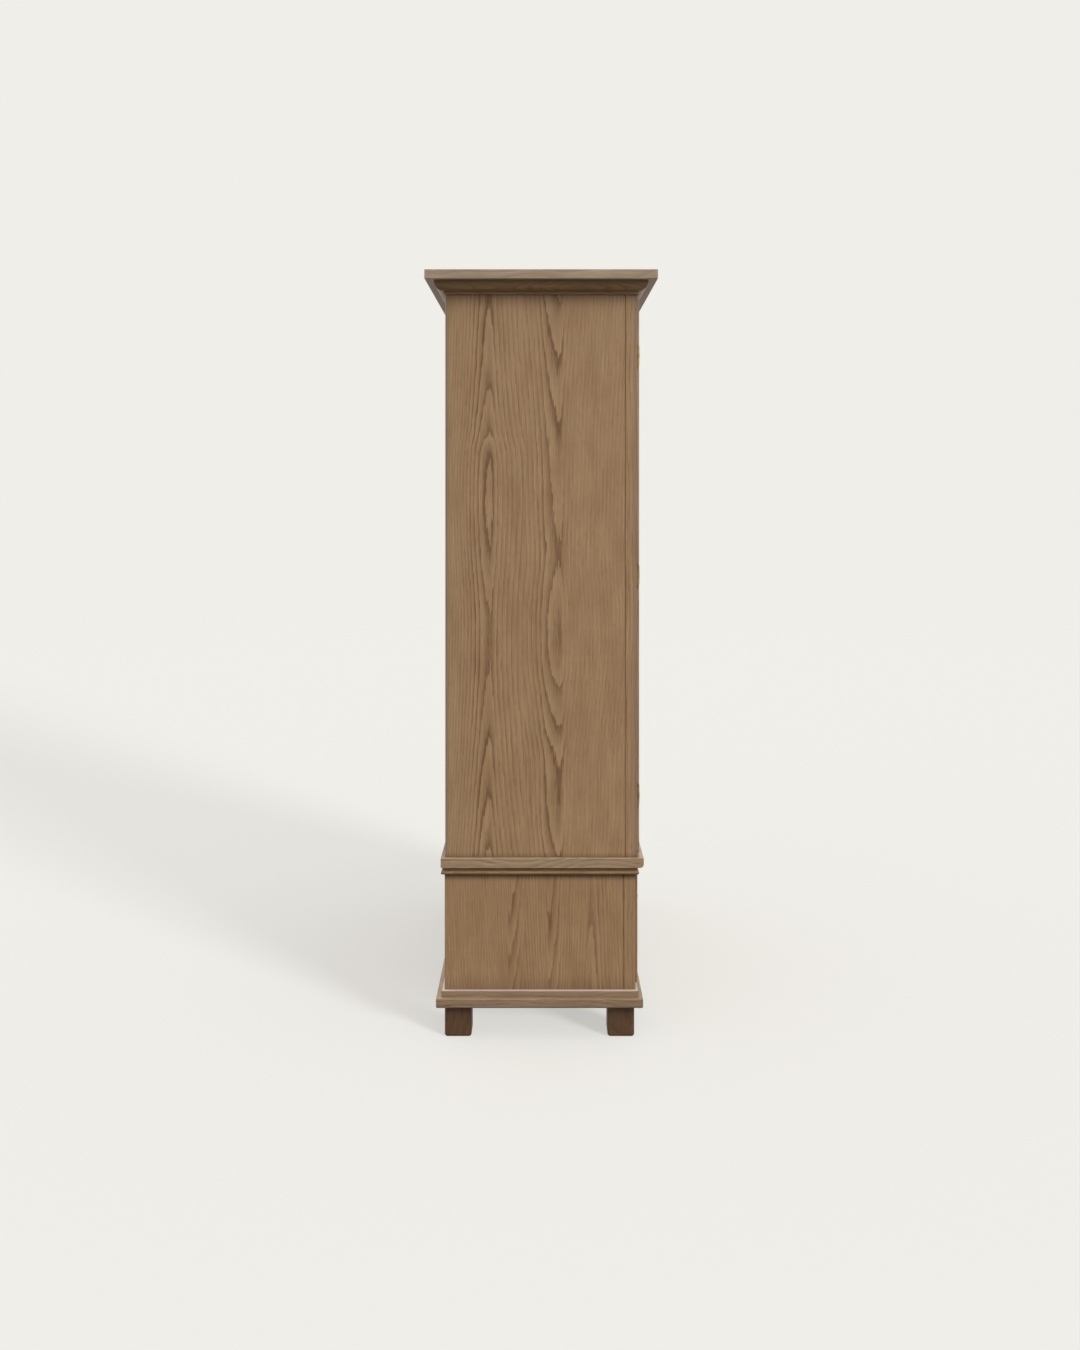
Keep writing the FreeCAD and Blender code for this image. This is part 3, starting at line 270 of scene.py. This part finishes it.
def oak(name, tones, grain, across, pith, boards=None, mitre=None, figure=None, seed=0.0,
        lift=24.0, contrast=0.6, wander=13.0, corner=None, painted_shade_levels=(), painted_ledge_light=None):
    """Oak with its grain along one axis and its rings round a pith at (across, depth).

    boards is (start, width) of glued-up boards and mitre (half x, half y, middle y) of a frame whose
    grain turns at the corners. A figure lists boards as (from, centre, rings up the board, rings
    across it, strength across it), and then the pith is where across and depth are counted from.
    corner is (x, y) of a case's upright corners, on whose arrises a grey sheen is painted. grime lists (height,
    reach up or down, depth) of levels towards which shade is painted into the wood, and ledge is
    (reach, tone, share) of a painted strip of shade or highlight along a case on top of a mitred frame."""
    material, tree = empty_material(name)
    coords = add(tree, "ShaderNodeTexCoord")
    mm = add(tree, "ShaderNodeVectorMath", {0: coords.outputs["Object"], "Scale": 1 / MM}, operation="SCALE")
    sep = add(tree, "ShaderNodeSeparateXYZ", {0: mm})

    # where a point lies in its board
    u, v, along = sawn_position(tree, sep, grain, across, mitre)
    u = add(tree, "ShaderNodeMath", {0: u, 1: pith[0]}, operation="SUBTRACT")
    v = add(tree, "ShaderNodeMath", {0: v, 1: pith[1]}, operation="SUBTRACT")
    w = add(tree, "ShaderNodeMath", {0: along, 1: PIECES_APART * seed}, operation="ADD")
    board_tone = None
    if boards:
        u, w, board_tone = glued_up(tree, u, w, boards, pith[0], seed)
    place = add(tree, "ShaderNodeCombineXYZ", {0: u, 1: v, 2: w})

    # its rings
    if figure:
        bent = add(tree, "ShaderNodeSeparateXYZ", {0: wandering(tree, place, (wander, 0.2 * wander, 0))})
        rings, force = figured_rings(tree, bent.outputs["X"], bent.outputs["Y"], along, figure)
        steady = add(tree, "ShaderNodeMath", {0: force, 1: 0.8}, operation="MULTIPLY")
    else:
        rings = round_rings(tree, wandering(tree, place, (wander, wander, 0)), w, lift)
        force, steady = 0.8, 0.3
    early, late = seasons(tree, rings, force, steady, place)

    # pores, mostly in the early wood, fibres and the wash
    patches = []
    for width, length, settings in ((PORE_WIDTH, PORE_LENGTH, {"Detail": 0.0}),
                                    (FIBRE_WIDTH, FIBRE_LENGTH, {"Detail": 4.0, "Roughness": 0.7}),
                                    (WASH_WIDTH, WASH_LENGTH, {"Detail": 3.0})):
        scaled = add(tree, "ShaderNodeVectorMath", {0: place, 1: (1 / width, 1 / width, 1 / length)},
                     operation="MULTIPLY")
        patches.append(add(tree, "ShaderNodeTexNoise", {"Vector": scaled, "Scale": 1.0, **settings}))
    pores, fibres, wash = patches
    pores = steps(add(tree, "ShaderNodeValToRGB", {0: pores}), [(0.57, 0.0), (0.65, 1.0)])
    in_early = add(tree, "ShaderNodeMath", {0: early, 1: 0.75, 2: 0.25}, operation="MULTIPLY_ADD")
    pores = add(tree, "ShaderNodeMath", {0: pores, 1: in_early}, operation="MULTIPLY")

    # coats of colour over the light wood, painted sheen and painted shade among them, as (way, share, tone)
    light, dark = (linear(tone) for tone in tones)
    stain = add(tree, "ShaderNodeMath", {0: early, 1: contrast}, operation="MULTIPLY")
    lifted = add(tree, "ShaderNodeMath", {0: late, 1: LATE_LIFT * contrast, 2: 1.0}, operation="MULTIPLY_ADD")
    streaks = steps(add(tree, "ShaderNodeValToRGB", {0: fibres}), FIBRE_TONES)
    washed = steps(add(tree, "ShaderNodeValToRGB", {0: wash}), WASH_TONES)
    in_pores = add(tree, "ShaderNodeMath", {0: pores, 1: PORE_DARKNESS}, operation="MULTIPLY")
    coats = [("MIX", stain, dark), ("MULTIPLY", 1.0, lifted), ("MULTIPLY", 1.0, streaks),
             ("MULTIPLY", 1.0, washed), ("MIX", in_pores, dark)]
    if board_tone:
        coats.append(("MULTIPLY", 1.0, board_tone))
    # a grey sheen painted on the upright arrises
    if corner:
        coats.append(("MIX", sheen_share(tree, mm, corner), linear(RIM_SHEEN)))

    # painted shade in inner corners read from ambient occlusion, painted shade at some levels, and a painted strip
    # of shade or highlight along a ledge
    crevice_shade = add(tree, "ShaderNodeAmbientOcclusion", {"Distance": SHADE_REACH_IN_CREVICES * MM}, samples=6).outputs["AO"]
    crevice_shade = add(tree, "ShaderNodeMapRange", {0: crevice_shade, 1: 0.4, 2: 0.95, 3: SHADE_TONE_IN_CREVICES, 4: 1.0})
    coats.append(("MULTIPLY", 1.0, crevice_shade))
    # painted shade, darkest at each given level
    for height, reach, deepest in painted_shade_levels:
        unshaded = add(tree, "ShaderNodeMapRange", {0: sep.outputs["Z"], 1: height, 2: height + reach,
                                                 3: deepest, 4: 1.0}, interpolation_type="SMOOTHSTEP")
        coats.append(("MULTIPLY", 1.0, unshaded))
    # a painted strip on the top faces next to the case: dark as shade or pale as a highlight, by its tone
    if painted_ledge_light:
        reach, tone, share = painted_ledge_light
        close = add(tree, "ShaderNodeMapRange", {0: u, 1: reach - 3.0 - pith[0], 2: reach - pith[0],
                                                 3: share, 4: 0.0})
        facing = add(tree, "ShaderNodeSeparateXYZ", {0: coords.outputs["Normal"]})
        on_top = add(tree, "ShaderNodeMath", {0: facing.outputs["Z"], 1: 0.7}, operation="GREATER_THAN")
        close = add(tree, "ShaderNodeMath", {0: close, 1: on_top}, operation="MULTIPLY")
        coats.append(("MIX", close, linear(tone)))

    # end grain is darker
    if mitre is None:
        facing = add(tree, "ShaderNodeSeparateXYZ", {0: coords.outputs["Normal"]})
        end = add(tree, "ShaderNodeMath", {0: facing.outputs[grain]}, operation="ABSOLUTE")
        end = steps(add(tree, "ShaderNodeValToRGB", {0: end}), [(0.7, 0.0), (0.95, 0.5)])
        coats.append(("MIX", end, dark))

    colour = light
    for way, share, tone in coats:
        colour = add(tree, "ShaderNodeMix", {0: share, 6: colour, 7: tone}, data_type="RGBA",
                     blend_type=way).outputs[2]

    # open pores and soft early wood lie lower, and early wood is duller
    relief = add(tree, "ShaderNodeMath", {0: early, 1: -0.5, 2: fibres}, operation="MULTIPLY_ADD")
    relief = add(tree, "ShaderNodeMath", {0: pores, 1: -0.8, 2: relief}, operation="MULTIPLY_ADD")
    bump = add(tree, "ShaderNodeBump", {"Height": relief, "Strength": 0.5, "Distance": 0.25 * MM})
    rough = add(tree, "ShaderNodeMath", {0: early, 1: 0.12, 2: 0.5}, operation="MULTIPLY_ADD")
    shader = add(tree, "ShaderNodeBsdfPrincipled", {"Base Color": colour, "Roughness": rough, "IOR": 1.5,
                                                    "Specular IOR Level": 0.3, "Normal": bump})
    add(tree, "ShaderNodeOutputMaterial", {0: shader})
    return material


# The figure of the left-hand end.  A board's curves are (height, rings) up its middle and (place
# across, rings) and (place across, strength) from its middle, in millimetres.
CUPBOARD_FIGURE = (
    (-1000, -50,
     ((470, 7.0), (618, 6.15), (701, 6.0), (803, 5.0), (907, 4.0), (985, 3.3), (1060, 3.16), (1120, 3.3),
      (1238, 4.0), (1262, 4.06), (1288, 4.0), (1350, 3.75), (1460, 3.5), (1550, 3.25), (1602, 3.0),
      (1771, 2.0), (1917, 1.0), (1960, 0.7)),
     ((-200, 19.5), (-100, 9.5), (-45, 4.0), (-15, 1.1), (-6, 0.25), (0, 0.0), (18, 0.25), (31, 0.68),
      (40, 1.05), (52, 2.0), (76, 4.0), (98, 5.8)),
     ((-200, 0.3), (-100, 0.3), (-40, 0.24), (-14, 0.35), (-6, 0.9), (0, 1.0), (30, 1.0), (50, 0.75),
      (76, 0.45), (120, 0.4))),
    (44, 133,
     ((470, 0.75), (498, 1.0), (623, 2.0), (774, 3.0), (961, 3.97), (982, 4.0), (1035, 4.01), (1088, 4.0),
      (1112, 3.95), (1302, 3.0), (1400, 2.8), (1503, 3.0), (1579, 4.0), (1696, 5.0), (1909, 6.0), (1960, 6.2)),
     ((-110, 8.0), (-54, 4.0), (-29, 2.0), (-17, 1.0), (-8, 0.25), (0, 0.0), (10, 0.15), (20, 0.57),
      (30, 1.24), (40, 2.1), (60, 4.2), (120, 12.2)),
     ((-110, 0.4), (-50, 0.5), (-18, 0.6), (-9, 0.9), (0, 1.0), (30, 1.0), (48, 0.75), (70, 0.45),
      (120, 0.35))))
CHEST_FIGURE = (
    (-1000, -127,
     ((100, 2.05), (305, 3.0), (383, 3.3), (444, 3.5)),
     ((-140, 14.0), (-60, 5.0), (-22, 1.0), (-8, 0.15), (0, 0.0), (7, 0.3), (14, 1.0), (60, 7.0)),
     ((-140, 0.2), (-50, 0.3), (-24, 0.7), (-4, 0.7), (3, 0.6), (12, 0.25), (60, 0.3))),
    (-75, -20,
     ((100, 3.4), (152, 3.0), (315, 2.0), (444, 1.3)),
     ((-70, 7.0), (-40, 3.0), (-24, 1.0), (-12, 0.4), (0, 0.0), (6, 0.4), (12, 1.4), (70, 9.0)),
     ((-70, 0.2), (-30, 0.4), (-20, 0.7), (0, 0.7), (8, 0.35), (70, 0.45))),
    (42, 83,
     ((100, 4.0), (204, 3.0), (317, 2.0), (444, 1.1)),
     ((-60, 5.5), (-36, 2.2), (-24, 1.0), (-10, 0.3), (0, 0.0), (6, 0.4), (12, 1.4), (180, 24.0)),
     ((-60, 0.25), (-30, 0.4), (-18, 0.65), (0, 0.6), (8, 0.25), (180, 0.2))))

# Levels of painted shade: above the base and under the bead, and above the belt.
CHEST_PAINTED_SHADE = ((124, 46, 0.80), (421, -17, 0.42))
CUPBOARD_PAINTED_SHADE = ((470, 16, 0.88),)


def dress(material, *names):
    """Give CAD nodes one material."""
    for name in names:
        data = nodes[name].data
        data.materials.clear()
        data.materials.append(material)


CASE_CORNER = (550, 250)           # of the cupboard
upper_plan = (550, 250, 0)         # the cases' half width, half depth and middle
lower_plan = (550, 248.5, 3)

dress(oak("oak left side of cupboard", OAK, "Z", "Y", (0, -550), seed=0, figure=CUPBOARD_FIGURE,
          contrast=0.82, wander=8, corner=CASE_CORNER, painted_shade_levels=CUPBOARD_PAINTED_SHADE), "upper_side_left")
dress(oak("oak right side of cupboard", OAK, "Z", "Y", (0, 490), boards=(-226, 238), seed=3,
          corner=CASE_CORNER, painted_shade_levels=CUPBOARD_PAINTED_SHADE), "upper_side_right")
dress(oak("oak left side of chest", OAK_LOWER, "Z", "Y", (0, -550), seed=5, figure=CHEST_FIGURE,
          contrast=1.0, wander=8, painted_shade_levels=CHEST_PAINTED_SHADE), "lower_side_left")
dress(oak("oak right side of chest", OAK_LOWER, "Z", "Y", (0, 490), boards=(-222, 158), seed=6, lift=7,
          painted_shade_levels=CHEST_PAINTED_SHADE), "lower_side_right")
dress(oak("oak cupboard stiles", OAK, "Z", "X", (0, 150), seed=7, lift=5, contrast=0.55,
          corner=CASE_CORNER, painted_shade_levels=CUPBOARD_PAINTED_SHADE), "upper_stile_left", "upper_stile_right")
dress(oak("oak chest stiles", OAK_LOWER, "Z", "X", (0, 150), seed=9, lift=5, contrast=0.55,
          painted_shade_levels=CHEST_PAINTED_SHADE),
      "lower_stile_left", "lower_stile_right", "lower_muntin")
dress(oak("oak cupboard rails", OAK, "X", "Z", (1700, -90), seed=11, lift=6, contrast=0.55),
      "upper_rail_bottom", "upper_rail_top")
dress(oak("oak chest rails", OAK_LOWER, "X", "Z", (270, -90), seed=13, lift=6, contrast=0.55),
      "lower_rail_bottom", "lower_rail_top")
dress(oak("oak hinge stile left", OAK, "Z", "X", (-380, -150), seed=15, lift=6, contrast=0.6),
      "door_left_hinge_stile")
dress(oak("oak hinge stile right", OAK, "Z", "X", (560, -150), seed=16, lift=6, contrast=0.6),
      "door_right_hinge_stile")
dress(oak("oak meeting stiles", OAK, "Z", "X", (-140, -150), seed=17, lift=6, contrast=0.6),
      "door_left_meeting_stile", "door_right_meeting_stile")
dress(oak("oak door rails left", OAK, "X", "Z", (1120, -200), seed=19, contrast=0.7), "door_left_rails")
dress(oak("oak door rails right", OAK, "X", "Z", (1110, -195), seed=20, contrast=0.7), "door_right_rails")
dress(oak("oak door panels left", OAK, "Z", "X", (-262, -200), seed=21), "door_left_panels")
dress(oak("oak door panels right", OAK, "Z", "X", (248, -198), seed=22), "door_right_panels")
dress(oak("oak drawer front left", OAK, "X", "Z", (262, -200), seed=23), "drawer_left_front")
dress(oak("oak drawer front right", OAK, "X", "Z", (288, -196), seed=24), "drawer_right_front")
dress(oak("oak cap boards", OAK_CAP, "X", "Y", (0, 1920), boards=(-250, 120), seed=25, contrast=0.6), "cap_board")
dress(oak("oak cap edging", OAK_CAP, "X", "Y", (-60, 1940), mitre=upper_plan, seed=27, contrast=0.45),
      "cap_edging")
dress(oak("oak cornice", OAK, "X", "Y", (60, 1900), mitre=upper_plan, seed=29, contrast=0.5), "cornice_moulding")
dress(oak("oak belt board", OAK_BELT, "X", "Y", (0, 400), boards=(-240, 120), seed=31, contrast=0.6), "belt_board")
# its ledge strip is painted shade where the cupboard stands on the belt
dress(oak("oak belt edging", OAK_BELT, "X", "Y", (-50, 425), mitre=lower_plan, seed=33, contrast=0.5,
          painted_ledge_light=(9, "4e3a28", 0.75)), "belt_edging")
dress(oak("oak bead under belt", OAK_BEAD_SHADED, "X", "Y", (-50, 425), mitre=lower_plan, seed=34, contrast=0.5),
      "belt_bead")
dress(oak("oak base board", OAK_BASE, "X", "Y", (0, 60), boards=(-240, 120), seed=35, contrast=0.6), "base_board")
dress(oak("oak base edging", OAK_BASE, "X", "Y", (-50, 60), mitre=lower_plan, seed=37, contrast=0.5),
      "base_edging")
# its ledge strip is a painted highlight along the moulding's top
dress(oak("oak base moulding", OAK_BASE, "X", "Y", (-50, 60), mitre=lower_plan, seed=38, contrast=0.4,
          painted_ledge_light=(11, "c6bbaf", 0.7)), "base_moulding")
dress(oak("oak feet", OAK_FOOT_SHADED, "Z", "X", (430, -130), seed=39, contrast=0.6), "feet")
dress(oak("oak back boards", OAK_BACK, "Z", "X", (0, 200), boards=(-541.8, 154.8), seed=41),
      "upper_back_panel", "lower_back_panel")
dress(oak("oak shelves", OAK_INSIDE, "X", "Y", (0, 900), boards=(-216, 114), seed=43, contrast=0.6),
      "shelves", "upper_decks", "lower_deck")
dress(oak("oak partition and runners", OAK_INSIDE, "Y", "Z", (200, 60), seed=45, contrast=0.6),
      "lower_partition", "drawer_runners")
dress(oak("poplar drawer sides", POPLAR, "Y", "Z", (260, 90), seed=47, contrast=0.35),
      "drawer_left_sides", "drawer_right_sides")
dress(oak("poplar drawer backs", POPLAR, "X", "Z", (240, 130), seed=49, contrast=0.35),
      "drawer_left_back", "drawer_right_back")
dress(oak("poplar drawer bottoms", POPLAR, "X", "Y", (0, 40), boards=(-240, 115), seed=51, contrast=0.35),
      "drawer_left_bottom", "drawer_right_bottom")


# ---------------------------------------------------------------- metal and plastic

def aged_brass():
    """Cast brass under a brown patina that is thinner in places, with fine pitting."""
    material, tree = empty_material("aged brass")
    coords = add(tree, "ShaderNodeTexCoord")
    mm = add(tree, "ShaderNodeVectorMath", {0: coords.outputs["Object"], "Scale": 1 / MM}, operation="SCALE")
    cloud = add(tree, "ShaderNodeTexNoise", {"Vector": mm, "Scale": 1 / 16, "Detail": 5.0, "Roughness": 0.65})
    grit = add(tree, "ShaderNodeTexNoise", {"Vector": mm, "Scale": 1 / 1.2, "Detail": 3.0})
    wear = steps(add(tree, "ShaderNodeValToRGB", {0: cloud}), [(0.3, 0.0), (0.75, 1.0)])
    colour = add(tree, "ShaderNodeMix", {0: wear, 6: linear("775e3c"), 7: linear("ae8e59")}, data_type="RGBA")
    rough = add(tree, "ShaderNodeMath", {0: grit, 1: 0.3, 2: 0.32}, operation="MULTIPLY_ADD")
    bump = add(tree, "ShaderNodeBump", {"Height": grit, "Strength": 0.3, "Distance": 0.1 * MM})
    shader = add(tree, "ShaderNodeBsdfPrincipled", {"Base Color": colour.outputs[2], "Metallic": 1.0,
                                                    "Roughness": rough, "Normal": bump})
    add(tree, "ShaderNodeOutputMaterial", {0: shader})
    return material


def zinc_steel():
    """Zinc-plated steel: pale grey, softly mottled, a little dull."""
    material, tree = empty_material("zinc plated steel")
    coords = add(tree, "ShaderNodeTexCoord")
    mm = add(tree, "ShaderNodeVectorMath", {0: coords.outputs["Object"], "Scale": 1 / MM}, operation="SCALE")
    spangle = add(tree, "ShaderNodeTexNoise", {"Vector": mm, "Scale": 1 / 4, "Detail": 3.0})
    colour = add(tree, "ShaderNodeMix", {0: spangle, 6: linear("9b9a96"), 7: linear("c3c2bd")}, data_type="RGBA")
    rough = add(tree, "ShaderNodeMath", {0: spangle, 1: 0.2, 2: 0.3}, operation="MULTIPLY_ADD")
    shader = add(tree, "ShaderNodeBsdfPrincipled", {"Base Color": colour.outputs[2], "Metallic": 1.0,
                                                    "Roughness": rough})
    add(tree, "ShaderNodeOutputMaterial", {0: shader})
    return material


def brown_plastic():
    """Moulded brown polypropylene with a faint spark-eroded texture."""
    material, tree = empty_material("moulded brown plastic")
    coords = add(tree, "ShaderNodeTexCoord")
    mm = add(tree, "ShaderNodeVectorMath", {0: coords.outputs["Object"], "Scale": 1 / MM}, operation="SCALE")
    grain = add(tree, "ShaderNodeTexNoise", {"Vector": mm, "Scale": 1 / 0.8, "Detail": 2.0})
    colour = add(tree, "ShaderNodeMix", {0: grain, 6: linear("4a3626"), 7: linear("5a4431")}, data_type="RGBA")
    bump = add(tree, "ShaderNodeBump", {"Height": grain, "Strength": 0.3, "Distance": 0.05 * MM})
    shader = add(tree, "ShaderNodeBsdfPrincipled", {"Base Color": colour.outputs[2], "Roughness": 0.5,
                                                    "IOR": 1.49, "Normal": bump})
    add(tree, "ShaderNodeOutputMaterial", {0: shader})
    return material


brass = aged_brass()
steel = zinc_steel()
dress(brass, "hinge_frame_leaves", "hinge_pins")
for side in ("left", "right"):
    dress(brass, f"door_{side}_knob", f"door_{side}_hinge_leaves",
          f"drawer_{side}_bail", f"drawer_{side}_handle_posts")
    dress(steel, f"door_{side}_strike")
dress(steel, "shelf_pins")
dress(brown_plastic(), "door_catches")


# ---------------------------------------------------------------- screws

SCREW_RADIUS = 3.3
SCREW_LEVELS = (-16.0, 0.0, 16.0)
HINGE_LEVELS = (622.0, 1201.0, 1780.0)
DOOR_LEAF = (501.0, -259.0)        # x and y of the heads on the doors' leaves
FRAME_LEAF = (529.0, -251.2)       # and on the frame's
STRIKE_SCREW = (46.0, -235.7, 1898.0)
SLOT_TURNS = (12, 75, 140, 33, 98, 160, 51, 117, 5)


def screw_head():
    """A slotted, slightly raised countersunk head that faces -Y from the origin."""
    bpy.ops.object.select_all(action="DESELECT")
    bpy.ops.mesh.primitive_cylinder_add(vertices=32, radius=SCREW_RADIUS * MM, depth=0.6 * MM,
                                        rotation=(math.radians(90), 0, 0))
    head = bpy.context.object
    bpy.ops.object.transform_apply(rotation=True)
    for face in head.data.polygons:
        face.select = face.normal.y < -0.9
    bpy.ops.object.mode_set(mode="EDIT")
    bpy.ops.mesh.select_mode(type="FACE")
    for step, rise in ((0.5, 0.18), (1.0, 0.14)):
        bpy.ops.mesh.inset(thickness=step * MM, depth=0)
        bpy.ops.transform.translate(value=(0, -rise * MM, 0))
    bpy.ops.object.mode_set(mode="OBJECT")
    bpy.ops.mesh.primitive_cube_add(size=1, location=(0, -0.6 * MM, 0), scale=(8 * MM, 0.9 * MM, 0.9 * MM))
    slot = bpy.context.object
    cut = head.modifiers.new("slot", "BOOLEAN")
    cut.object = slot
    cut.operation = "DIFFERENCE"
    bpy.context.view_layer.objects.active = head
    bpy.ops.object.modifier_apply(modifier=cut.name)
    bpy.data.objects.remove(slot)
    bpy.ops.object.shade_smooth_by_angle(angle=math.radians(30))
    return head


def screws(name, places, body, material):
    """Copies of the head at places (x, y, z, way it faces, turn of its slot), joined as one piece."""
    bpy.ops.object.select_all(action="DESELECT")
    copies = []
    for x, y, z, facing, turn in places:
        copy = head_pattern.copy()
        copy.data = head_pattern.data.copy()
        bpy.context.scene.collection.objects.link(copy)
        copy.rotation_euler = (0 if facing < 0 else math.radians(180), math.radians(turn), 0)
        copy.location = (x * MM, y * MM, z * MM)
        copy.select_set(True)
        copies.append(copy)
    bpy.context.view_layer.objects.active = copies[0]
    if len(copies) > 1:
        bpy.ops.object.join()
    bpy.ops.object.transform_apply(location=True, rotation=True, scale=True)
    made = bpy.context.object
    made.name = name
    made.data.materials.clear()
    made.data.materials.append(material)
    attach(made, body)


head_pattern = screw_head()
leaf_screws = [(hinge + screw, turn) for (hinge, screw), turn in
               zip([(hinge, screw) for hinge in HINGE_LEVELS for screw in SCREW_LEVELS], SLOT_TURNS)]
for side, sign in (("left", -1), ("right", 1)):
    screws(f"screws_door_{side}_hinges",
           [(sign * DOOR_LEAF[0], DOOR_LEAF[1], z, -1, turn) for z, turn in leaf_screws],
           f"door_{side}", brass)
    screws(f"screws_frame_{side}_hinges",
           [(sign * FRAME_LEAF[0], FRAME_LEAF[1], z, -1, turn + 40) for z, turn in leaf_screws],
           "root", brass)
    x, y, z = STRIKE_SCREW
    screws(f"screws_door_{side}_strike", [(sign * x, y, z, 1, 20)], f"door_{side}", steel)
bpy.data.objects.remove(head_pattern)


# ---------------------------------------------------------------- floor, light and camera

BACKGROUND = linear("f0eee9")
FLOOR_GLOW = 0.72                  # share of the floor's brightness that no shadow takes away
FLOOR_GLOW_NEAR = 0.60             # and under the press
LOW_LAMP_HEIGHT = 14.0             # degrees
EYE_HEIGHT = 1.438
CAMERA_DISTANCE = 3.300            # from the end of the press
CAMERA_ASIDE = -0.0027
CASE_HALF_WIDTH = 0.550
FOCAL_PIXELS = 1267.0              # on the frame's 1350 pixel side
LONG_SIDE = 1350.0
SHIFT_PIXELS = (-2.2, -190.0)


def seen_directly(tree):
    """1 for what the camera sees, also in a reflection or through glass."""
    path = add(tree, "ShaderNodeLightPath")
    seen = add(tree, "ShaderNodeMath", {0: path.outputs["Is Camera Ray"], 1: path.outputs["Is Glossy Ray"]},
               operation="MAXIMUM")
    return add(tree, "ShaderNodeMath", {0: seen, 1: path.outputs["Is Transmission Ray"]}, operation="MAXIMUM")


def build_world():
    """Even light from all round, stronger from above, and a plain pale backdrop."""
    world = bpy.data.worlds.new("studio")
    world.use_nodes = True
    tree = world.node_tree
    tree.nodes.clear()
    shown = add(tree, "ShaderNodeBackground", {0: BACKGROUND, 1: 1.0})
    way = add(tree, "ShaderNodeSeparateXYZ", {0: add(tree, "ShaderNodeTexCoord").outputs["Generated"]})
    height = add(tree, "ShaderNodeMapRange", {0: way.outputs["Z"], 1: 0.0, 2: 1.0, 3: 0.3, 4: 0.8})
    glow = add(tree, "ShaderNodeBackground", {0: (1.0, 1.0, 1.0, 1.0), 1: height})
    both = add(tree, "ShaderNodeMixShader", {0: seen_directly(tree), 1: glow, 2: shown})
    add(tree, "ShaderNodeOutputWorld", {0: both})
    bpy.context.scene.world = world


def build_floor():
    """A pale seamless floor that turns into the backdrop's colour some way off."""
    bpy.ops.mesh.primitive_plane_add(size=120)
    floor = bpy.context.object
    floor.name = "floor"
    material, tree = empty_material("pale studio floor")
    coords = add(tree, "ShaderNodeTexCoord")
    away = add(tree, "ShaderNodeVectorMath", {0: coords.outputs["Object"]}, operation="LENGTH").outputs["Value"]
    close = add(tree, "ShaderNodeMapRange", {0: away, 1: 0.4, 2: 1.3, 3: FLOOR_GLOW_NEAR, 4: FLOOR_GLOW})
    fade = add(tree, "ShaderNodeMapRange", {0: away, 1: 7.0, 2: 14.0, 3: close, 4: 1.0})
    near = add(tree, "ShaderNodeBsdfDiffuse", {0: linear("f2f0eb")})
    far = add(tree, "ShaderNodeEmission", {0: BACKGROUND, 1: 1.0})
    shown = add(tree, "ShaderNodeMixShader", {0: fade, 1: near, 2: far})
    bounce = add(tree, "ShaderNodeBsdfDiffuse", {0: linear("5c5a57")})
    both = add(tree, "ShaderNodeMixShader", {0: seen_directly(tree), 1: bounce, 2: shown})
    add(tree, "ShaderNodeOutputMaterial", {0: both})
    floor.data.materials.append(material)
    floor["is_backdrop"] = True
    return floor


def softbox(name, place, aim, width, height, watts, lit):
    """A square-on area lamp that lights one collection."""
    data = bpy.data.lights.new(name, "AREA")
    data.shape = "RECTANGLE"
    data.size = width
    data.size_y = height
    data.energy = watts
    lamp = bpy.data.objects.new(name, data)
    bpy.context.scene.collection.objects.link(lamp)
    lamp.location = place
    lamp.rotation_euler = (Vector(aim) - Vector(place)).to_track_quat("-Z", "Y").to_euler()
    lamp.light_linking.receiver_collection = lit


def distant_lamp(name, heading, height, spread, strength, lit):
    """A far lamp that shines along a heading from a height in degrees, spread over some degrees."""
    data = bpy.data.lights.new(name, "SUN")
    data.energy = strength
    data.angle = math.radians(spread)
    lamp = bpy.data.objects.new(name, data)
    bpy.context.scene.collection.objects.link(lamp)
    lamp.rotation_euler = Vector((*heading, -math.tan(math.radians(height)))).to_track_quat("-Z", "Y").to_euler()
    lamp.light_linking.receiver_collection = lit


def build_lights(floor):
    """Soft light on every side of the press, and one low, wide lamp for its faint shadow on the floor."""
    pieces = bpy.data.collections.new("lit press")
    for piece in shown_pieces():
        pieces.objects.link(piece)
    softbox("front softbox", (-1.8, -4.9, 3.8), (0, 0, 1.0), 2.6, 2.2, 145, pieces)
    softbox("back softbox", (1.8, 4.9, 3.8), (0, 0, 1.0), 2.6, 2.2, 145, pieces)
    softbox("far end softbox", (5.4, 0, 3.6), (0, 0, 1.0), 3.0, 2.0, 120, pieces)
    distant_lamp("end lamp", (1.0, 0.0), 47, 24, 1.42, pieces)
    ground = bpy.data.collections.new("lit floor")
    ground.objects.link(floor)
    distant_lamp("low lamp", (0.69, 0.72), LOW_LAMP_HEIGHT, 16, 1.15 / math.sin(math.radians(LOW_LAMP_HEIGHT)),
                 ground)


def build_camera():
    """A level view of the left-hand end, at eye height."""
    data = bpy.data.cameras.new("camera")
    camera = bpy.data.objects.new("camera", data)
    bpy.context.scene.collection.objects.link(camera)
    data.sensor_width = 36.0
    data.lens = data.sensor_width * FOCAL_PIXELS / LONG_SIDE
    data.shift_x, data.shift_y = (pixels / LONG_SIDE for pixels in SHIFT_PIXELS)
    camera.location = (-CASE_HALF_WIDTH - CAMERA_DISTANCE, CAMERA_ASIDE, EYE_HEIGHT)
    camera.rotation_euler = (math.radians(90), 0, math.radians(-90))
    bpy.context.scene.camera = camera


build_world()
build_lights(build_floor())
build_camera()
bpy.context.scene.view_settings.view_transform = "Standard"
